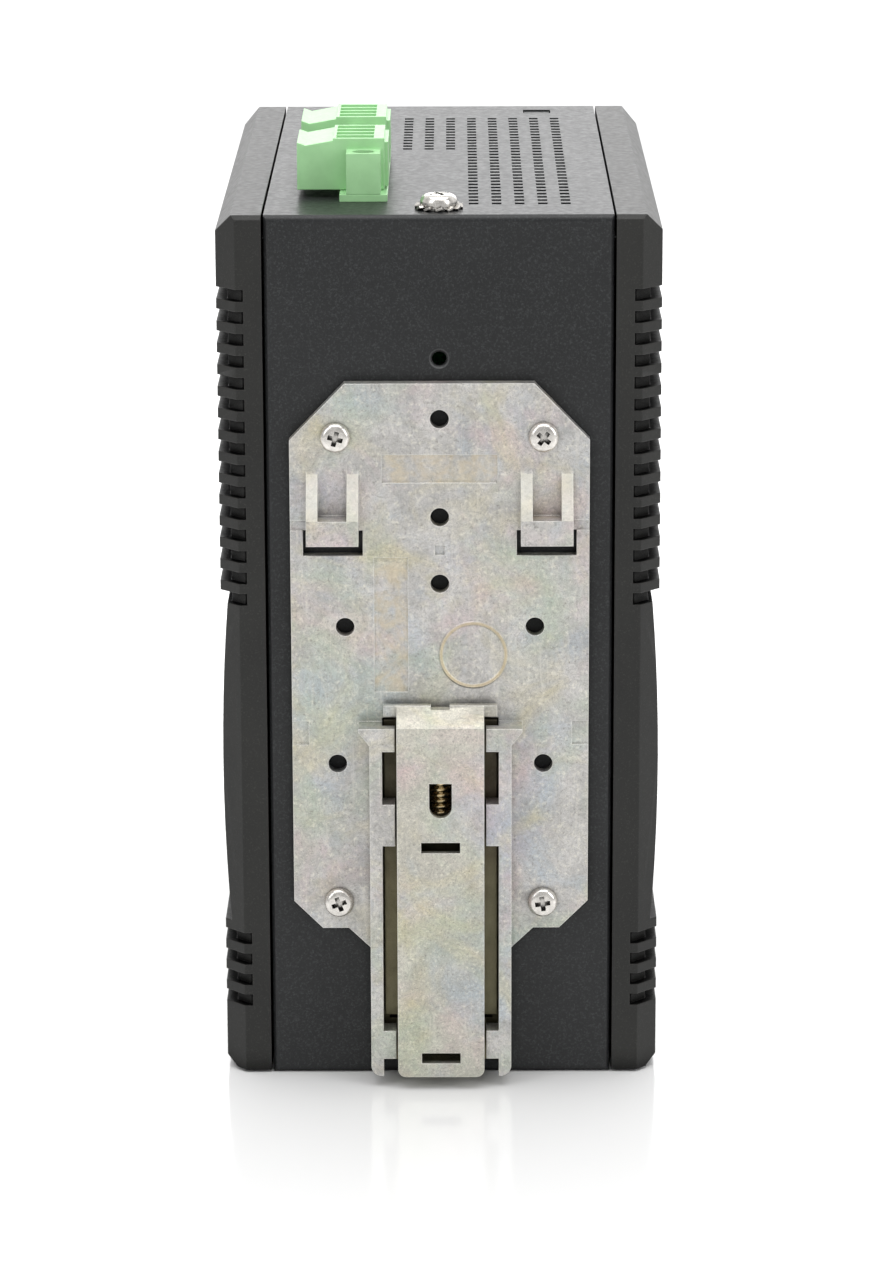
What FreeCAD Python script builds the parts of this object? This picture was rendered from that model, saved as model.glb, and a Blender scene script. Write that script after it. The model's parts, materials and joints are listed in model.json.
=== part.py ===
import FreeCAD, Part
import math
import os

import Sketcher
from FreeCAD import Placement, Rotation, Vector

# A DIN rail ethernet switch: a folded steel box between two ribbed side covers, a die-cast
# rail clip with a sprung latch on the rear wall, two pluggable terminal blocks on top and
# the network ports on the front.  Millimetres, +Z up, +X to the right seen from the rear,
# rear wall towards -Y.  The origin is the middle of the bottom face.

SIZES = (
    # enclosure
    ("case_width", 80.0, "outside width over the two side covers"),
    ("case_height", 161.5, "outside height"),
    ("case_depth", 132.0, "rear wall to front face"),
    ("box_width", 62.5, "steel box between the covers"),
    ("sheet", 1.2, "thickness of the steel sheet"),
    ("bend_radius", 1.2, "outside radius of the folds"),
    ("side_frame", 12.0, "width of the folded frame round each open side"),
    ("seam", 0.4, "gap between box and cover"),
    ("rear_hole_height", 135.6, "height of the small rear hole"),
    ("rear_hole_bore", 2.6, "its bore"),
    # vents
    ("vent_slot", 1.75, "side of a square vent hole"),
    ("vent_pitch_across", 4.16, "columns"),
    ("vent_pitch_along", 3.5, "rows"),
    ("vent_edge", 18.0, "front face to the first row"),
    ("vent_long_columns", 5, "columns that run almost to the rear"),
    ("vent_short_columns", 3, "columns that stop short of the earth screw"),
    ("vent_right", 22.88, "rightmost column from the middle"),
    ("vent_long_rows", 30, "holes in a long column"),
    ("vent_short_rows", 12, "holes in a short column"),
    # side covers
    ("cover_drop", 0.5, "cover stops this far above the base"),
    ("cover_corner", 3.6, "bevel of the upright corners"),
    ("cover_top_bevel_across", 2.9, "bevel along the top edge, across"),
    ("cover_top_bevel_down", 3.2, "bevel along the top edge, down"),
    ("cover_foot_bevel", 1.9, "bevel along the bottom edge"),
    ("cover_rim", 0.8, "small bevel of the upper rear and front rims"),
    ("cover_hollow", 3.2, "depth of the hollow on the inside"),
    ("cover_boss", 7.0, "spacing boss round a cover screw"),
    ("cover_boss_edge", 8.0, "corner bosses from the base and the top"),
    ("cover_hollow_edge", 16.5, "hollow from the cover's upright edges"),
    ("cover_hollow_end", 16.0, "hollow from the base and the top"),
    ("groove_height", 2.15, "height of one cooling groove"),
    ("groove_pitch", 4.0, "groove to groove"),
    ("groove_depth", 2.1, "depth in the side face"),
    ("groove_reach", 5.0, "how far a groove cuts in across the rear face"),
    ("groove_rear", 1.0, "depth in the rear face"),
    ("groove_bend", 2.6, "bevel of the groove floor round the corner"),
    ("upper_grooves", 15, "grooves above the bulge"),
    ("upper_groove_top", 147.06, "height of the highest groove"),
    ("lower_grooves", 4, "grooves below the bulge"),
    ("lower_groove_top", 26.26, "height of the highest lower groove"),
    ("bulge_top_inset", 1.3, "side face under the upper grooves lies back"),
    ("bulge_foot_inset", 1.2, "side face over the lower grooves lies back"),
    ("bulge_radius", 370.0, "radius of the bulging side face"),
    # bezel
    ("bezel_depth", 6.0, "depth of the front bezel's rim"),
    ("bezel_face", 2.0, "thickness of its front wall"),
    ("bezel_rim", 1.5, "thickness of its rim"),
    ("bezel_tongue", 4.0, "how far the bezel reaches into the box"),
    ("bezel_corner", 0.8, "bevel round the front face"),
    ("tab_width", 5.1, "locating tab at the top of the bezel"),
    ("tab_length", 6.1, "its length"),
    ("tab_place", 19.55, "its distance from the middle"),
    ("fit_gap", 0.2, "clearance round pieces that fit into openings"),
    # rail clip plate
    ("plate_thick", 2.5, "thickness of the clip plate"),
    ("plate_top", 131.55, "height of its top edge"),
    ("plate_foot", 29.2, "height of its lower shoulders"),
    ("plate_half", 27.0, "half its width"),
    ("plate_top_half", 17.05, "half the top edge"),
    ("plate_top_bevel", 10.35, "height of the upper corner cuts"),
    ("plate_foot_bevel", 5.25, "lower corner cuts"),
    ("plate_foot_half", 16.95, "where the shoulders turn towards the guides"),
    ("plate_screw_half", 18.7, "plate screws from the middle"),
    ("plate_screw_high", 121.8, "height of the upper screws"),
    ("plate_screw_low", 34.3, "height of the lower screws"),
    ("plate_hole_bore", 3.4, "bore of the plain holes"),
    ("plate_field", 0.3, "depth of the blank fields"),
    ("plate_mark", 0.4, "depth of the small ejector marks"),
    ("hook_ceiling", 104.6, "height where the rail's upper edge stops"),
    ("hook_inner", 14.6, "near side of a hook from the middle"),
    ("hook_width", 9.4, "width of a hook"),
    ("hook_proud", 4.7, "how far a hook stands off the plate"),
    ("hook_roof", 2.7, "height of a hook above the rail edge"),
    ("hook_lip", 1.9, "how far the lip hangs down behind the rail edge"),
    ("hook_rib", 2.1, "width of a rib over a hook"),
    ("hook_rib_height", 8.3, "height of a rib"),
    ("rail_gap", 1.3, "slot for the rail's edge"),
    ("rail_height", 35.2, "rail's edge to edge size with its play"),
    ("window_side", 0.7, "play beside a hook in its window"),
    ("window_height", 4.7, "height of the window under a hook"),
    ("guide_inner", 10.6, "half the width of the latch channel"),
    ("guide_outer", 12.9, "outside of a guide from the middle"),
    ("guide_proud", 5.3, "how far the guides stand off the plate"),
    ("guide_foot", 2.1, "height of the guides' lower ends"),
    ("guide_round", 2.0, "rounded lower corner of a guide"),
    ("guide_flare", 2.0, "widening at the top of a guide"),
    ("guide_flare_foot", 3.2, "where the widening begins below the guide's top"),
    ("low_tab_foot", 3.4, "lowest keeper tabs above the guides' lower ends"),
    ("low_tab_top", 8.8, "their upper edge"),
    ("middle_tab_foot", 44.5, "middle keeper tabs above the guides' lower ends"),
    ("middle_tab_top", 52.4, "their upper edge"),
    ("top_tab", 4.3, "height of the uppermost keeper tabs"),
    ("channel_floor", 1.2, "thickness of the channel floor"),
    ("tab_inner", 8.3, "inner edge of a keeper tab from the middle"),
    # latch
    ("latch_half", 7.95, "half the width of the latch body"),
    ("latch_flange_half", 10.3, "half the width of its flanges"),
    ("latch_foot", 2.5, "height of its lower end"),
    ("latch_proud", 7.0, "how far its front stands off the plate"),
    ("latch_wall", 1.4, "thickness of its walls"),
    ("latch_flange", 1.8, "thickness of its flanges"),
    ("top_keeper", 2.4, "thickness of the uppermost keeper tabs"),
    ("latch_play", 0.15, "running clearance of the latch"),
    ("latch_overlap", 3.1, "how far its nose covers the rail's edge"),
    ("latch_wing", 2.1, "height of the wings beside the nose"),
    ("latch_corner", 1.5, "radius of the lower corners"),
    ("flange_foot", 12.5, "height where the flanges end"),
    ("spring_seat", 62.5, "height of the seat inside the latch"),
    ("post_top", 51.5, "height of the spring post on the plate"),
    ("post_height", 2.5, "height of the post itself"),
    ("post_half", 2.2, "half the width of the post"),
    ("spring_wire", 0.6, "wire of the latch spring"),
    ("spring_radius", 1.65, "mean radius of the spring"),
    ("spring_turns", 9.5, "turns of the spring"),
    ("spring_back", 4.9, "spring axis behind the rear wall"),
    ("window_half", 2.05, "half the width of the spring window"),
    ("window_top", 58.95, "top of the spring window"),
    ("window_foot", 52.4, "bottom of the spring window"),
    ("slot_half", 3.55, "half the width of the two driver slots"),
    ("slot_height", 2.0, "height of the driver slots"),
    ("upper_slot", 46.75, "middle of the upper slot"),
    ("lower_slot", 6.15, "middle of the lower slot"),
    # screws
    ("screw_shank", 3.0, "M3 shank"),
    ("screw_head", 5.4, "head of the plate screws"),
    ("screw_head_height", 1.9, "its height"),
    ("cover_screw_head", 5.6, "head of the cover screws, over its corners"),
    ("cover_screw_edge", 6.0, "cover screws from the rear wall"),
    ("cover_screw_front", 13.0, "cover screws from the front face"),
    ("cover_screw_height", 60.0, "cover screws above the base"),
    ("cover_screw_grip", 3.2, "how far a cover screw goes into its boss"),
    ("cover_bore", 3.6, "hexagonal hole of a cover screw, over its corners"),
    ("ground_edge", 7.3, "earth screw from the rear wall"),
    ("ground_head", 6.7, "head of the earth screw"),
    ("ground_head_height", 2.3, "its height"),
    ("ground_shank", 3.5, "its shank"),
    ("nut_body", 4.6, "rivet nuts of the clip, body over its corners"),
    ("ground_nut", 5.4, "rivet nut of the earth screw"),
    ("washer_outer", 8.6, "toothed washer over its teeth"),
    ("washer_ring", 7.0, "its ring"),
    ("washer_root", 0.12, "how deep a tooth reaches into the ring"),
    ("washer_thick", 0.6, "its thickness"),
    ("washer_teeth", 12, "its teeth"),
    ("washer_twist", 25.0, "twist of a tooth in degrees"),
    # terminal blocks
    ("pole_pitch", 3.81, "pole to pole"),
    ("poles", 4, "poles of one block"),
    ("plug_length", 25.9, "a plug over its two screw flanges"),
    ("plug_spacing", 26.1, "first block to second block"),
    ("plug_edge", 14.6, "first block from the rear wall"),
    ("plug_flange", 4.9, "length of one screw flange"),
    ("header_left", 18.0, "header's left side from the middle"),
    ("header_right", 9.3, "header's right side from the middle"),
    ("header_flange", 1.3, "thickness of the header's collar"),
    ("header_wall", 1.2, "walls of the header"),
    ("collar_overhang", 1.1, "how far the collar stands out round the header"),
    ("pin_side", 1.0, "side of a square header pin"),
    ("plug_left", 25.75, "plug's left side from the middle"),
    ("plug_right", 9.9, "plug's right side from the middle"),
    ("plug_top", 10.8, "plug's top above the box"),
    ("plug_foot", 1.4, "plug's underside above the box"),
    ("flange_block_left", 16.75, "screw flange's left side"),
    ("flange_block_right", 10.55, "screw flange's right side"),
    ("flange_block_top", 8.8, "screw flange's top above the box"),
    ("clamp_head", 2.6, "clamping screw"),
    ("clamp_edge", 5.3, "clamping screws from the plug's right side"),
    ("flange_sink", 2.6, "depth to which the flange screws' heads lie sunk"),
    ("flange_thread", 2.3, "hole of a flange screw, over its corners"),
    ("entry_size", 2.9, "width of a wire entry"),
    ("entry_height", 4.2, "height of a wire entry"),
    ("entry_foot", 2.8, "wire entry above the box"),
    # boards and what stands on them
    ("board", 1.6, "thickness of a circuit board"),
    ("standoff", 2.45, "length of a standoff"),
    ("board_edge", 3.2, "boards from the box's base and top"),
    ("board_notch", 2.8, "width of a screw notch in a board's edge"),
    ("bridge_drop", 9.0, "terminal board below the box top"),
    ("jack_wide", 15.9, "ethernet jack, upright"),
    ("jack_deep", 13.4, "ethernet jack, off its board"),
    ("jack_long", 20.6, "ethernet jack, front to rear"),
    ("jack_pitch", 16.1, "jack to jack"),
    ("jack_foot", 16.0, "height of the lowest jack"),
    ("jack_split", 3.0, "bar between the two rows of jacks"),
    ("port_wide", 11.8, "port opening, upright"),
    ("port_deep", 7.0, "port opening, off its board"),
    ("port_long", 13.5, "depth of a port"),
    ("cage_wide", 14.9, "fibre cage, upright"),
    ("cage_deep", 9.9, "fibre cage, off its board"),
    ("cage_long", 47.5, "fibre cage, front to rear"),
    ("cage_wall", 0.5, "its sheet"),
    ("cage_foot", 20.0, "height of the lower cage"),
    ("cage_pitch", 18.0, "cage to cage"),
    ("lamp_bore", 2.4, "side of a square light pipe"),
    ("lamp_pitch", 5.6, "lamp to lamp"),
    ("lamp_foot", 95.0, "height of the lowest lamp"),
    ("lamp_boss", 5.0, "length of the bosses that carry the lamp board"),
    ("lamps", 10, "lamps in the column"),
    ("lamp_place", 2.0, "lamp column from the middle"),
)

doc = FreeCAD.newDocument("din_rail_switch")
sheet = doc.addObject("Spreadsheet::Sheet", "Sizes")
for row, (alias, number, note) in enumerate(SIZES, 1):
    sheet.set(f"A{row}", alias)
    sheet.set(f"B{row}", str(number))
    sheet.set(f"C{row}", note)
    sheet.setAlias(f"B{row}", alias)
doc.recompute()


class Size:
    """A size: its number and the formula that ties it to the sheet."""

    def __init__(self, number, formula=None):
        self.number = float(number)
        self.formula = formula or repr(self.number)

    def _join(self, other, sign, number):
        return Size(number, f"({self.formula} {sign} {other.formula})")

    def __add__(self, other):
        other = as_size(other)
        return self._join(other, "+", self.number + other.number)

    def __sub__(self, other):
        other = as_size(other)
        return self._join(other, "-", self.number - other.number)

    def __mul__(self, other):
        other = as_size(other)
        return self._join(other, "*", self.number * other.number)

    def __truediv__(self, other):
        other = as_size(other)
        return self._join(other, "/", self.number / other.number)

    def __radd__(self, other):
        return as_size(other) + self

    def __rsub__(self, other):
        return as_size(other) - self

    def __rmul__(self, other):
        return as_size(other) * self

    def __neg__(self):
        return Size(0) - self


def as_size(value):
    return value if isinstance(value, Size) else Size(value)


def size(alias):
    return Size(sheet.get(alias), f"Sizes.{alias}")


def count(alias):
    return int(round(sheet.get(alias)))


def bind(thing, name, value):
    """Set a property and tie it to the sheet."""
    value = as_size(value)
    if "Sizes." in value.formula:
        thing.setExpression(name, value.formula)
    elif "." in name:
        thing.setExpression(name, value.formula)
    else:
        setattr(thing, name, value.number)


# ---------------------------------------------------------------- drawing helpers

class Round:
    """In an outline: the stretch from the point before to the point after is an arc."""

    def __init__(self, radius, through, centre_along=None):
        self.radius = as_size(radius)
        self.through = through
        self.centre_along = centre_along


class Disc:
    """A circle in a sketch."""

    def __init__(self, across, along, radius):
        self.across = as_size(across)
        self.along = as_size(along)
        self.radius = as_size(radius)


def rectangle(low_across, low_along, high_across, high_along):
    return [(low_across, low_along), (high_across, low_along),
            (high_across, high_along), (low_across, high_along)]


def regular_outline(across, along, width, sides=6):
    """A regular outline given its width over the corners."""
    across, along = as_size(across), as_size(along)
    half = as_size(width) / 2
    turns = [2 * math.pi * corner / sides for corner in range(sides)]
    return [(across + half * math.cos(turn), along + half * math.sin(turn)) for turn in turns]


def both_sides(outline):
    """The outline and its mirror image across the middle plane."""
    mirrored = [(-as_size(across), along) for across, along in outline]
    return [outline, mirrored]


def draw_disc(sketch, disc):
    centre = Vector(disc.across.number, disc.along.number, 0)
    index = sketch.addGeometry(Part.Circle(centre, Vector(0, 0, 1), disc.radius.number), False)
    for kind, value in (("DistanceX", disc.across), ("DistanceY", disc.along)):
        place = sketch.addConstraint(Sketcher.Constraint(kind, index, 3, value.number))
        tie(sketch, place, value)
    place = sketch.addConstraint(Sketcher.Constraint("Radius", index, disc.radius.number))
    tie(sketch, place, disc.radius)


def tie(sketch, place, value):
    if "Sizes." in value.formula:
        sketch.setExpression(f"Constraints[{place}]", value.formula)


def draw_outline(sketch, outline):
    """A closed outline whose corners are each tied to the sheet."""
    corners = []
    rounds = {}
    for entry in outline:
        if isinstance(entry, Round):
            rounds[len(corners) - 1] = entry
        else:
            corners.append((as_size(entry[0]), as_size(entry[1])))
    points = [Vector(across.number, along.number, 0) for across, along in corners]
    total = len(points)
    ends = []
    for index, start in enumerate(points):
        finish = points[(index + 1) % total]
        if index in rounds:
            through = rounds[index].through
            middle = Vector(as_size(through[0]).number, as_size(through[1]).number, 0)
            curve = Part.Arc(start, middle, finish)
        else:
            curve = Part.LineSegment(start, finish)
        geometry = sketch.addGeometry(curve, False)
        forward = sketch.getPoint(geometry, 1).distanceToPoint(start) < 1e-4
        ends.append((geometry, 1 if forward else 2, 2 if forward else 1))
    for index, (geometry, _, last) in enumerate(ends):
        following, first, _ = ends[(index + 1) % total]
        sketch.addConstraint(Sketcher.Constraint("Coincident", geometry, last, following, first))
    for index, (across, along) in enumerate(corners):
        geometry, first, _ = ends[index]
        for kind, value in (("DistanceX", across), ("DistanceY", along)):
            place = sketch.addConstraint(Sketcher.Constraint(kind, geometry, first, value.number))
            tie(sketch, place, value)
    for index, bend in rounds.items():
        geometry = ends[index][0]
        if bend.centre_along is not None:
            level = as_size(bend.centre_along)
            fixed = Sketcher.Constraint("DistanceY", geometry, 3, level.number)
            tie(sketch, sketch.addConstraint(fixed), level)
            continue
        radius = Sketcher.Constraint("Radius", geometry, bend.radius.number)
        tie(sketch, sketch.addConstraint(radius), bend.radius)


class Piece:
    """One sub-part: a PartDesign body whose features are added in order."""

    # direction in which each origin plane faces along its own axis
    NORMAL = {"XY_Plane": 1, "XZ_Plane": -1, "YZ_Plane": 1}

    def __init__(self, label):
        self.label = label
        self.body = doc.addObject("PartDesign::Body", label)
        self.body.Label = label
        self.steps = 0
        self.volume = 0.0

    def _name(self, kind):
        self.steps += 1
        return f"{self.label}_{kind}_{self.steps}"

    def sketch(self, loops, plane, level):
        """A sketch of outlines and discs on an origin plane moved to the given level."""
        sketch = self.body.newObject("Sketcher::SketchObject", self._name("sketch"))
        origin = [part for part in self.body.Origin.OriginFeatures if part.Role == plane][0]
        sketch.AttachmentSupport = [(origin, "")]
        sketch.MapMode = "FlatFace"
        bind(sketch, "AttachmentOffset.Base.z", as_size(level) * self.NORMAL[plane])
        for loop in loops:
            if isinstance(loop, Disc):
                draw_disc(sketch, loop)
            else:
                draw_outline(sketch, loop)
        return sketch

    def pad(self, loops, plane, start, finish):
        """Material between two levels of a plane."""
        start, finish = as_size(start), as_size(finish)
        upward = finish.number > start.number
        feature = self.body.newObject("PartDesign::Pad", self._name("pad"))
        feature.Profile = self.sketch(loops, plane, start)
        feature.Reversed = upward != (self.NORMAL[plane] > 0)
        bind(feature, "Length", finish - start if upward else start - finish)
        return self._finish(feature, 1)

    def cut(self, loops, plane, start, finish, check=True):
        """A pocket between two levels of a plane."""
        start, finish = as_size(start), as_size(finish)
        upward = finish.number > start.number
        feature = self.body.newObject("PartDesign::Pocket", self._name("pocket"))
        feature.Profile = self.sketch(loops, plane, start)
        feature.Reversed = upward == (self.NORMAL[plane] > 0)
        bind(feature, "Length", finish - start if upward else start - finish)
        return self._finish(feature, -1 if check else 0)

    def _finish(self, feature, sign):
        self.body.Tip = feature
        doc.recompute()
        if feature.Shape.isNull():
            raise ValueError(f"{feature.Name} has no shape: {feature.State}")
        change = feature.Shape.Volume - self.volume
        self.volume = feature.Shape.Volume
        if sign and change * sign <= 1e-6:
            raise ValueError(f"{feature.Name} changes the volume by {change}")
        return feature

    def dress(self, kind, amount, choose):
        """A fillet or chamfer on the edges that choose() accepts."""
        base = self.body.Tip
        chosen = [f"Edge{number}" for number, edge in enumerate(base.Shape.Edges, 1)
                  if choose(edge)]
        if not chosen:
            raise ValueError(f"{self.label}: no edge to dress")
        feature = self.body.newObject(f"PartDesign::{kind}", self._name(kind.lower()))
        feature.Base = (base, chosen)
        bind(feature, "Radius" if kind == "Fillet" else "Size", amount)
        return self._finish(feature, 0)

    def repeat(self, feature, axis, step, number, second_axis=None, second_step=0, second_number=1):
        """A row, or a grid, of copies of a feature along its sketch's own axes."""
        if number == 1 and second_number == 1:
            return feature
        pattern = self.body.newObject("PartDesign::LinearPattern", self._name("row"))
        pattern.Originals = [feature]
        sketch = feature.Profile[0]
        step = as_size(step)
        pattern.Direction = (sketch, [axis])
        pattern.Reversed = step.number < 0
        distance = step * (number - 1)
        bind(pattern, "Length", -distance if step.number < 0 else distance)
        pattern.Occurrences = number
        if second_number > 1:
            second_step = as_size(second_step)
            pattern.Direction2 = (sketch, [second_axis])
            pattern.Reversed2 = second_step.number < 0
            distance = second_step * (second_number - 1)
            bind(pattern, "Length2", -distance if second_step.number < 0 else distance)
            pattern.Occurrences2 = second_number
        return self._finish(pattern, 0)


nodes = {}


def keep(name, thing):
    nodes[name] = thing
    return thing


def keep_piece(piece):
    return keep(piece.label, piece.body)


def place(thing, across, along, up):
    for axis, value in zip("xyz", (across, along, up)):
        bind(thing, f"Placement.Base.{axis}", value)


def block(name, low, high):
    """A plain rectangular piece between two corners."""
    thing = keep(name, doc.addObject("Part::Box", name))
    thing.Label = name
    low = [as_size(value) for value in low]
    high = [as_size(value) for value in high]
    for side, start, finish in zip(("Length", "Width", "Height"), low, high):
        bind(thing, side, finish - start)
    place(thing, *low)
    return thing


def group(name, shapes):
    """Several separate solids that share one node."""
    thing = doc.addObject("Part::Feature", name)
    thing.Label = name
    thing.Shape = Part.makeCompound(shapes)
    return keep(name, thing)


def copies(shape, spots, rotation=None):
    """Copies of a shape at the given points, each turned the same way."""
    moved = []
    for spot in spots:
        copy = shape.copy()
        copy.Placement = Placement(Vector(*spot), rotation or Rotation())
        moved.append(copy)
    return moved


def solid_box(low, high):
    sides = [finish - start for start, finish in zip(low, high)]
    return Part.makeBox(*sides, Vector(*low))


def runs_along(edge, axis):
    if edge.Curve.TypeId != "Part::GeomLine":
        return False
    direction = edge.Curve.Direction
    return abs(getattr(direction, axis)) > 0.9999


def at(edge, **wanted):
    """True where the edge's middle has the given coordinates."""
    middle = edge.CenterOfMass
    return all(abs(getattr(middle, axis) - value) < 0.02 for axis, value in wanted.items())


# ---------------------------------------------------------------- shared levels

height = size("case_height")
half_depth = size("case_depth") / 2
rear = -half_depth
front = half_depth
sheet_thick = size("sheet")
box_half = size("box_width") / 2
box_front = front - size("bezel_depth")
case_half = size("case_width") / 2
cover_inner = box_half + size("seam")
fit = size("fit_gap")
screw_radius = size("screw_shank") / 2

plate_face = rear - size("plate_thick")
channel_floor = rear - size("channel_floor")
guide_face = plate_face - size("guide_proud")
latch_face = plate_face - size("latch_proud")
rail_edge = plate_face - size("rail_gap")
rail_seat = size("hook_ceiling") - size("rail_height")
nose_top = rail_seat + size("latch_overlap")
ceiling = size("hook_ceiling")

plate_screws = [(side * size("plate_screw_half"), up)
                for side in (-1, 1) for up in (size("plate_screw_low"), size("plate_screw_high"))]
cover_screw_places = [(along, size("cover_screw_height"))
                      for along in (rear + size("cover_screw_edge"), front - size("cover_screw_front"))]
cover_boss_places = cover_screw_places + [(along, up) for along, _ in cover_screw_places
                                          for up in (size("cover_boss_edge"),
                                                     height - size("cover_boss_edge"))]

board_thick = size("board")
standoff_places = [(along, up) for along in (rear + 20.0, box_front - 30.0)
                   for up in (Size(5.5), height - 5.5)]
board_outer = box_half - sheet_thick - size("standoff")
board_inner = board_outer - board_thick
bridge_top = height - size("bridge_drop")
bridge_foot = bridge_top - board_thick

header_left = -size("header_left")
header_right = -size("header_right")
block_starts = [rear + size("plug_edge") + size("plug_spacing") * number for number in range(2)]
pole_first = size("plug_length") / 2 - size("pole_pitch") * (count("poles") - 1) / 2
header_middle = (header_left + header_right) / 2

jack_front = front - 0.4
jack_feet = [size("jack_foot") + size("jack_pitch") * number
             + (size("jack_split") if number > 3 else 0) for number in range(8)]
cage_feet = [size("cage_foot") + size("cage_pitch") * number for number in range(2)]
lamp_heights = [size("lamp_foot") + size("lamp_pitch") * number for number in range(count("lamps"))]
lamp_boss = size("lamp_boss")
lamp_screws = [lamp_heights[0] - 7.0, lamp_heights[-1] + 3.9]


# ---------------------------------------------------------------- housing

def build_housing():
    """Folded steel box: rear, top and base with narrow frames round the open sides."""
    piece = Piece("housing_wrap")
    piece.pad([rectangle(-box_half, 0, box_half, height)], "XZ_Plane", rear, box_front)
    piece.dress("Chamfer", size("bend_radius") / 2, lambda edge: runs_along(edge, "z")
                and at(edge, y=rear.number))
    piece.dress("Fillet", size("bend_radius"), lambda edge: runs_along(edge, "x")
                and at(edge, y=rear.number))
    hollow = rectangle(-box_half + sheet_thick, sheet_thick,
                       box_half - sheet_thick, height - sheet_thick)
    piece.cut([hollow], "XZ_Plane", rear + sheet_thick, box_front)
    frame = size("side_frame")
    opening = rectangle(rear + frame, frame, box_front - frame, height - frame)
    piece.cut([opening], "YZ_Plane", -box_half - 1, box_half + 1)

    # vents: long columns at the right, short ones beside them
    slot = size("vent_slot")
    pitch_across = size("vent_pitch_across")
    pitch_along = size("vent_pitch_along")
    last_row = front - size("vent_edge")
    split = size("vent_right") - pitch_across * (count("vent_long_columns") - 1)
    short = split - pitch_across * count("vent_short_columns")
    for across, number, rows in ((split, count("vent_long_columns"), count("vent_long_rows")),
                                 (short, count("vent_short_columns"), count("vent_short_rows"))):
        hole = rectangle(across - slot / 2, last_row - slot / 2, across + slot / 2, last_row + slot / 2)
        feature = piece.cut([hole], "XY_Plane", height, height - sheet_thick)
        piece.repeat(feature, "H_Axis", pitch_across, number, "V_Axis", -pitch_along, rows)

    # windows for the headers, hole for the earth screw, notch for the bezel's tab
    windows = []
    for start in block_starts:
        windows.append(rectangle(header_left + 0.8, start + 0.8, header_right - 0.8,
                                 start + size("plug_length") - 0.8))
    windows.append(regular_outline(0, rear + size("ground_edge"), size("ground_nut") + 0.2))
    piece.cut(windows, "XY_Plane", height, height - sheet_thick)
    tab = size("tab_place")
    half_notch = size("tab_width") / 2 + fit
    notch_end = box_front - size("tab_length") - fit
    notch = [(tab - half_notch, box_front), (tab - half_notch, notch_end + half_notch),
             Round(half_notch, (tab, notch_end), notch_end + half_notch),
             (tab + half_notch, notch_end + half_notch), (tab + half_notch, box_front)]
    piece.cut([notch], "XY_Plane", height, height - sheet_thick)

    # rear wall: hexagonal holes for the clip's rivet nuts and a small round hole
    bores = [regular_outline(across, up, size("nut_body") + 0.2) for across, up in plate_screws]
    bores.append(Disc(0, size("rear_hole_height"), size("rear_hole_bore") / 2))
    piece.cut(bores, "XZ_Plane", rear, rear + sheet_thick)
    # slots in both side frames for the cover screws
    slots = [rectangle(along - screw_radius - 0.15, up - 2.5, along + screw_radius + 0.15, up + 2.5)
             for along, up in cover_screw_places]
    piece.cut(slots, "YZ_Plane", -box_half - 1, box_half + 1)
    keep_piece(piece)


# ---------------------------------------------------------------- front bezel

def build_bezel():
    piece = Piece("front_bezel")
    piece.pad([rectangle(-box_half, 0, box_half, height)], "XZ_Plane", box_front, front)
    corner = size("bezel_corner")
    piece.dress("Chamfer", corner, lambda edge: edge.BoundBox.YLength < 0.01
                and at(edge, y=front.number))
    rim = size("bezel_rim")
    inner = sheet_thick + fit
    tongue = rectangle(-box_half + inner, inner, box_half - inner, height - inner)
    piece.pad([tongue], "XZ_Plane", box_front - size("bezel_tongue"), box_front)
    hollow = rectangle(-box_half + inner + rim, inner + rim, box_half - inner - rim, height - inner - rim)
    piece.cut([hollow], "XZ_Plane", box_front - size("bezel_tongue"), front - size("bezel_face"))
    openings = []
    for first, last in ((0, 3), (4, 7)):
        openings.append(rectangle(-board_inner - fit, jack_feet[first] - fit,
                                  -board_inner + size("jack_deep") + fit,
                                  jack_feet[last] + size("jack_wide") + fit))
    for foot in cage_feet:
        openings.append(rectangle(board_inner - size("cage_deep") - fit, foot - fit,
                                  board_inner + fit, foot + size("cage_wide") + fit))
    place_x = size("lamp_place")
    half_lamp = size("lamp_bore") / 2 + 0.1
    for up in lamp_heights:
        openings.append(rectangle(place_x - half_lamp, up - half_lamp, place_x + half_lamp, up + half_lamp))
    piece.cut(openings, "XZ_Plane", front - size("bezel_face"), front)
    # locating tab in the box's notch
    tab = size("tab_place")
    half_tab = size("tab_width") / 2
    tab_end = box_front - size("tab_length")
    outline = [(tab - half_tab, box_front), (tab - half_tab, tab_end + half_tab),
               Round(half_tab, (tab, tab_end), tab_end + half_tab),
               (tab + half_tab, tab_end + half_tab), (tab + half_tab, box_front)]
    piece.pad([outline], "XY_Plane", height - sheet_thick - fit, height - 0.3)
    # bosses that carry the lamp board
    board_rear = front - size("bezel_face") - lamp_boss
    bosses = [rectangle(place_x - 2.4, up - 2.4, place_x + 2.4, up + 2.4) for up in lamp_screws]
    piece.pad(bosses, "XZ_Plane", board_rear, front - size("bezel_face"))
    piece.cut([regular_outline(place_x, up, 2.0) for up in lamp_screws], "XZ_Plane",
              board_rear, board_rear + lamp_boss - 0.5)
    keep_piece(piece)


# ---------------------------------------------------------------- side covers

def groove_outline(side):
    """Plan of one cooling groove's waste: across the rear corner, along the side, round the front."""
    floor = case_half - size("groove_depth")
    bend = size("groove_bend")
    reach = case_half - size("groove_reach")
    beyond = case_half + 2
    points = []
    for sign, level in ((-1, rear), (1, front)):
        step = level - size("groove_rear") * sign
        stretch = [(beyond, level + 2 * sign), (reach, level + 2 * sign), (reach, step),
                   (floor - bend, step), (floor, step - bend * sign)]
        points += stretch if sign < 0 else reversed(stretch)
    return [(across * side, along) for across, along in points]


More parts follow.
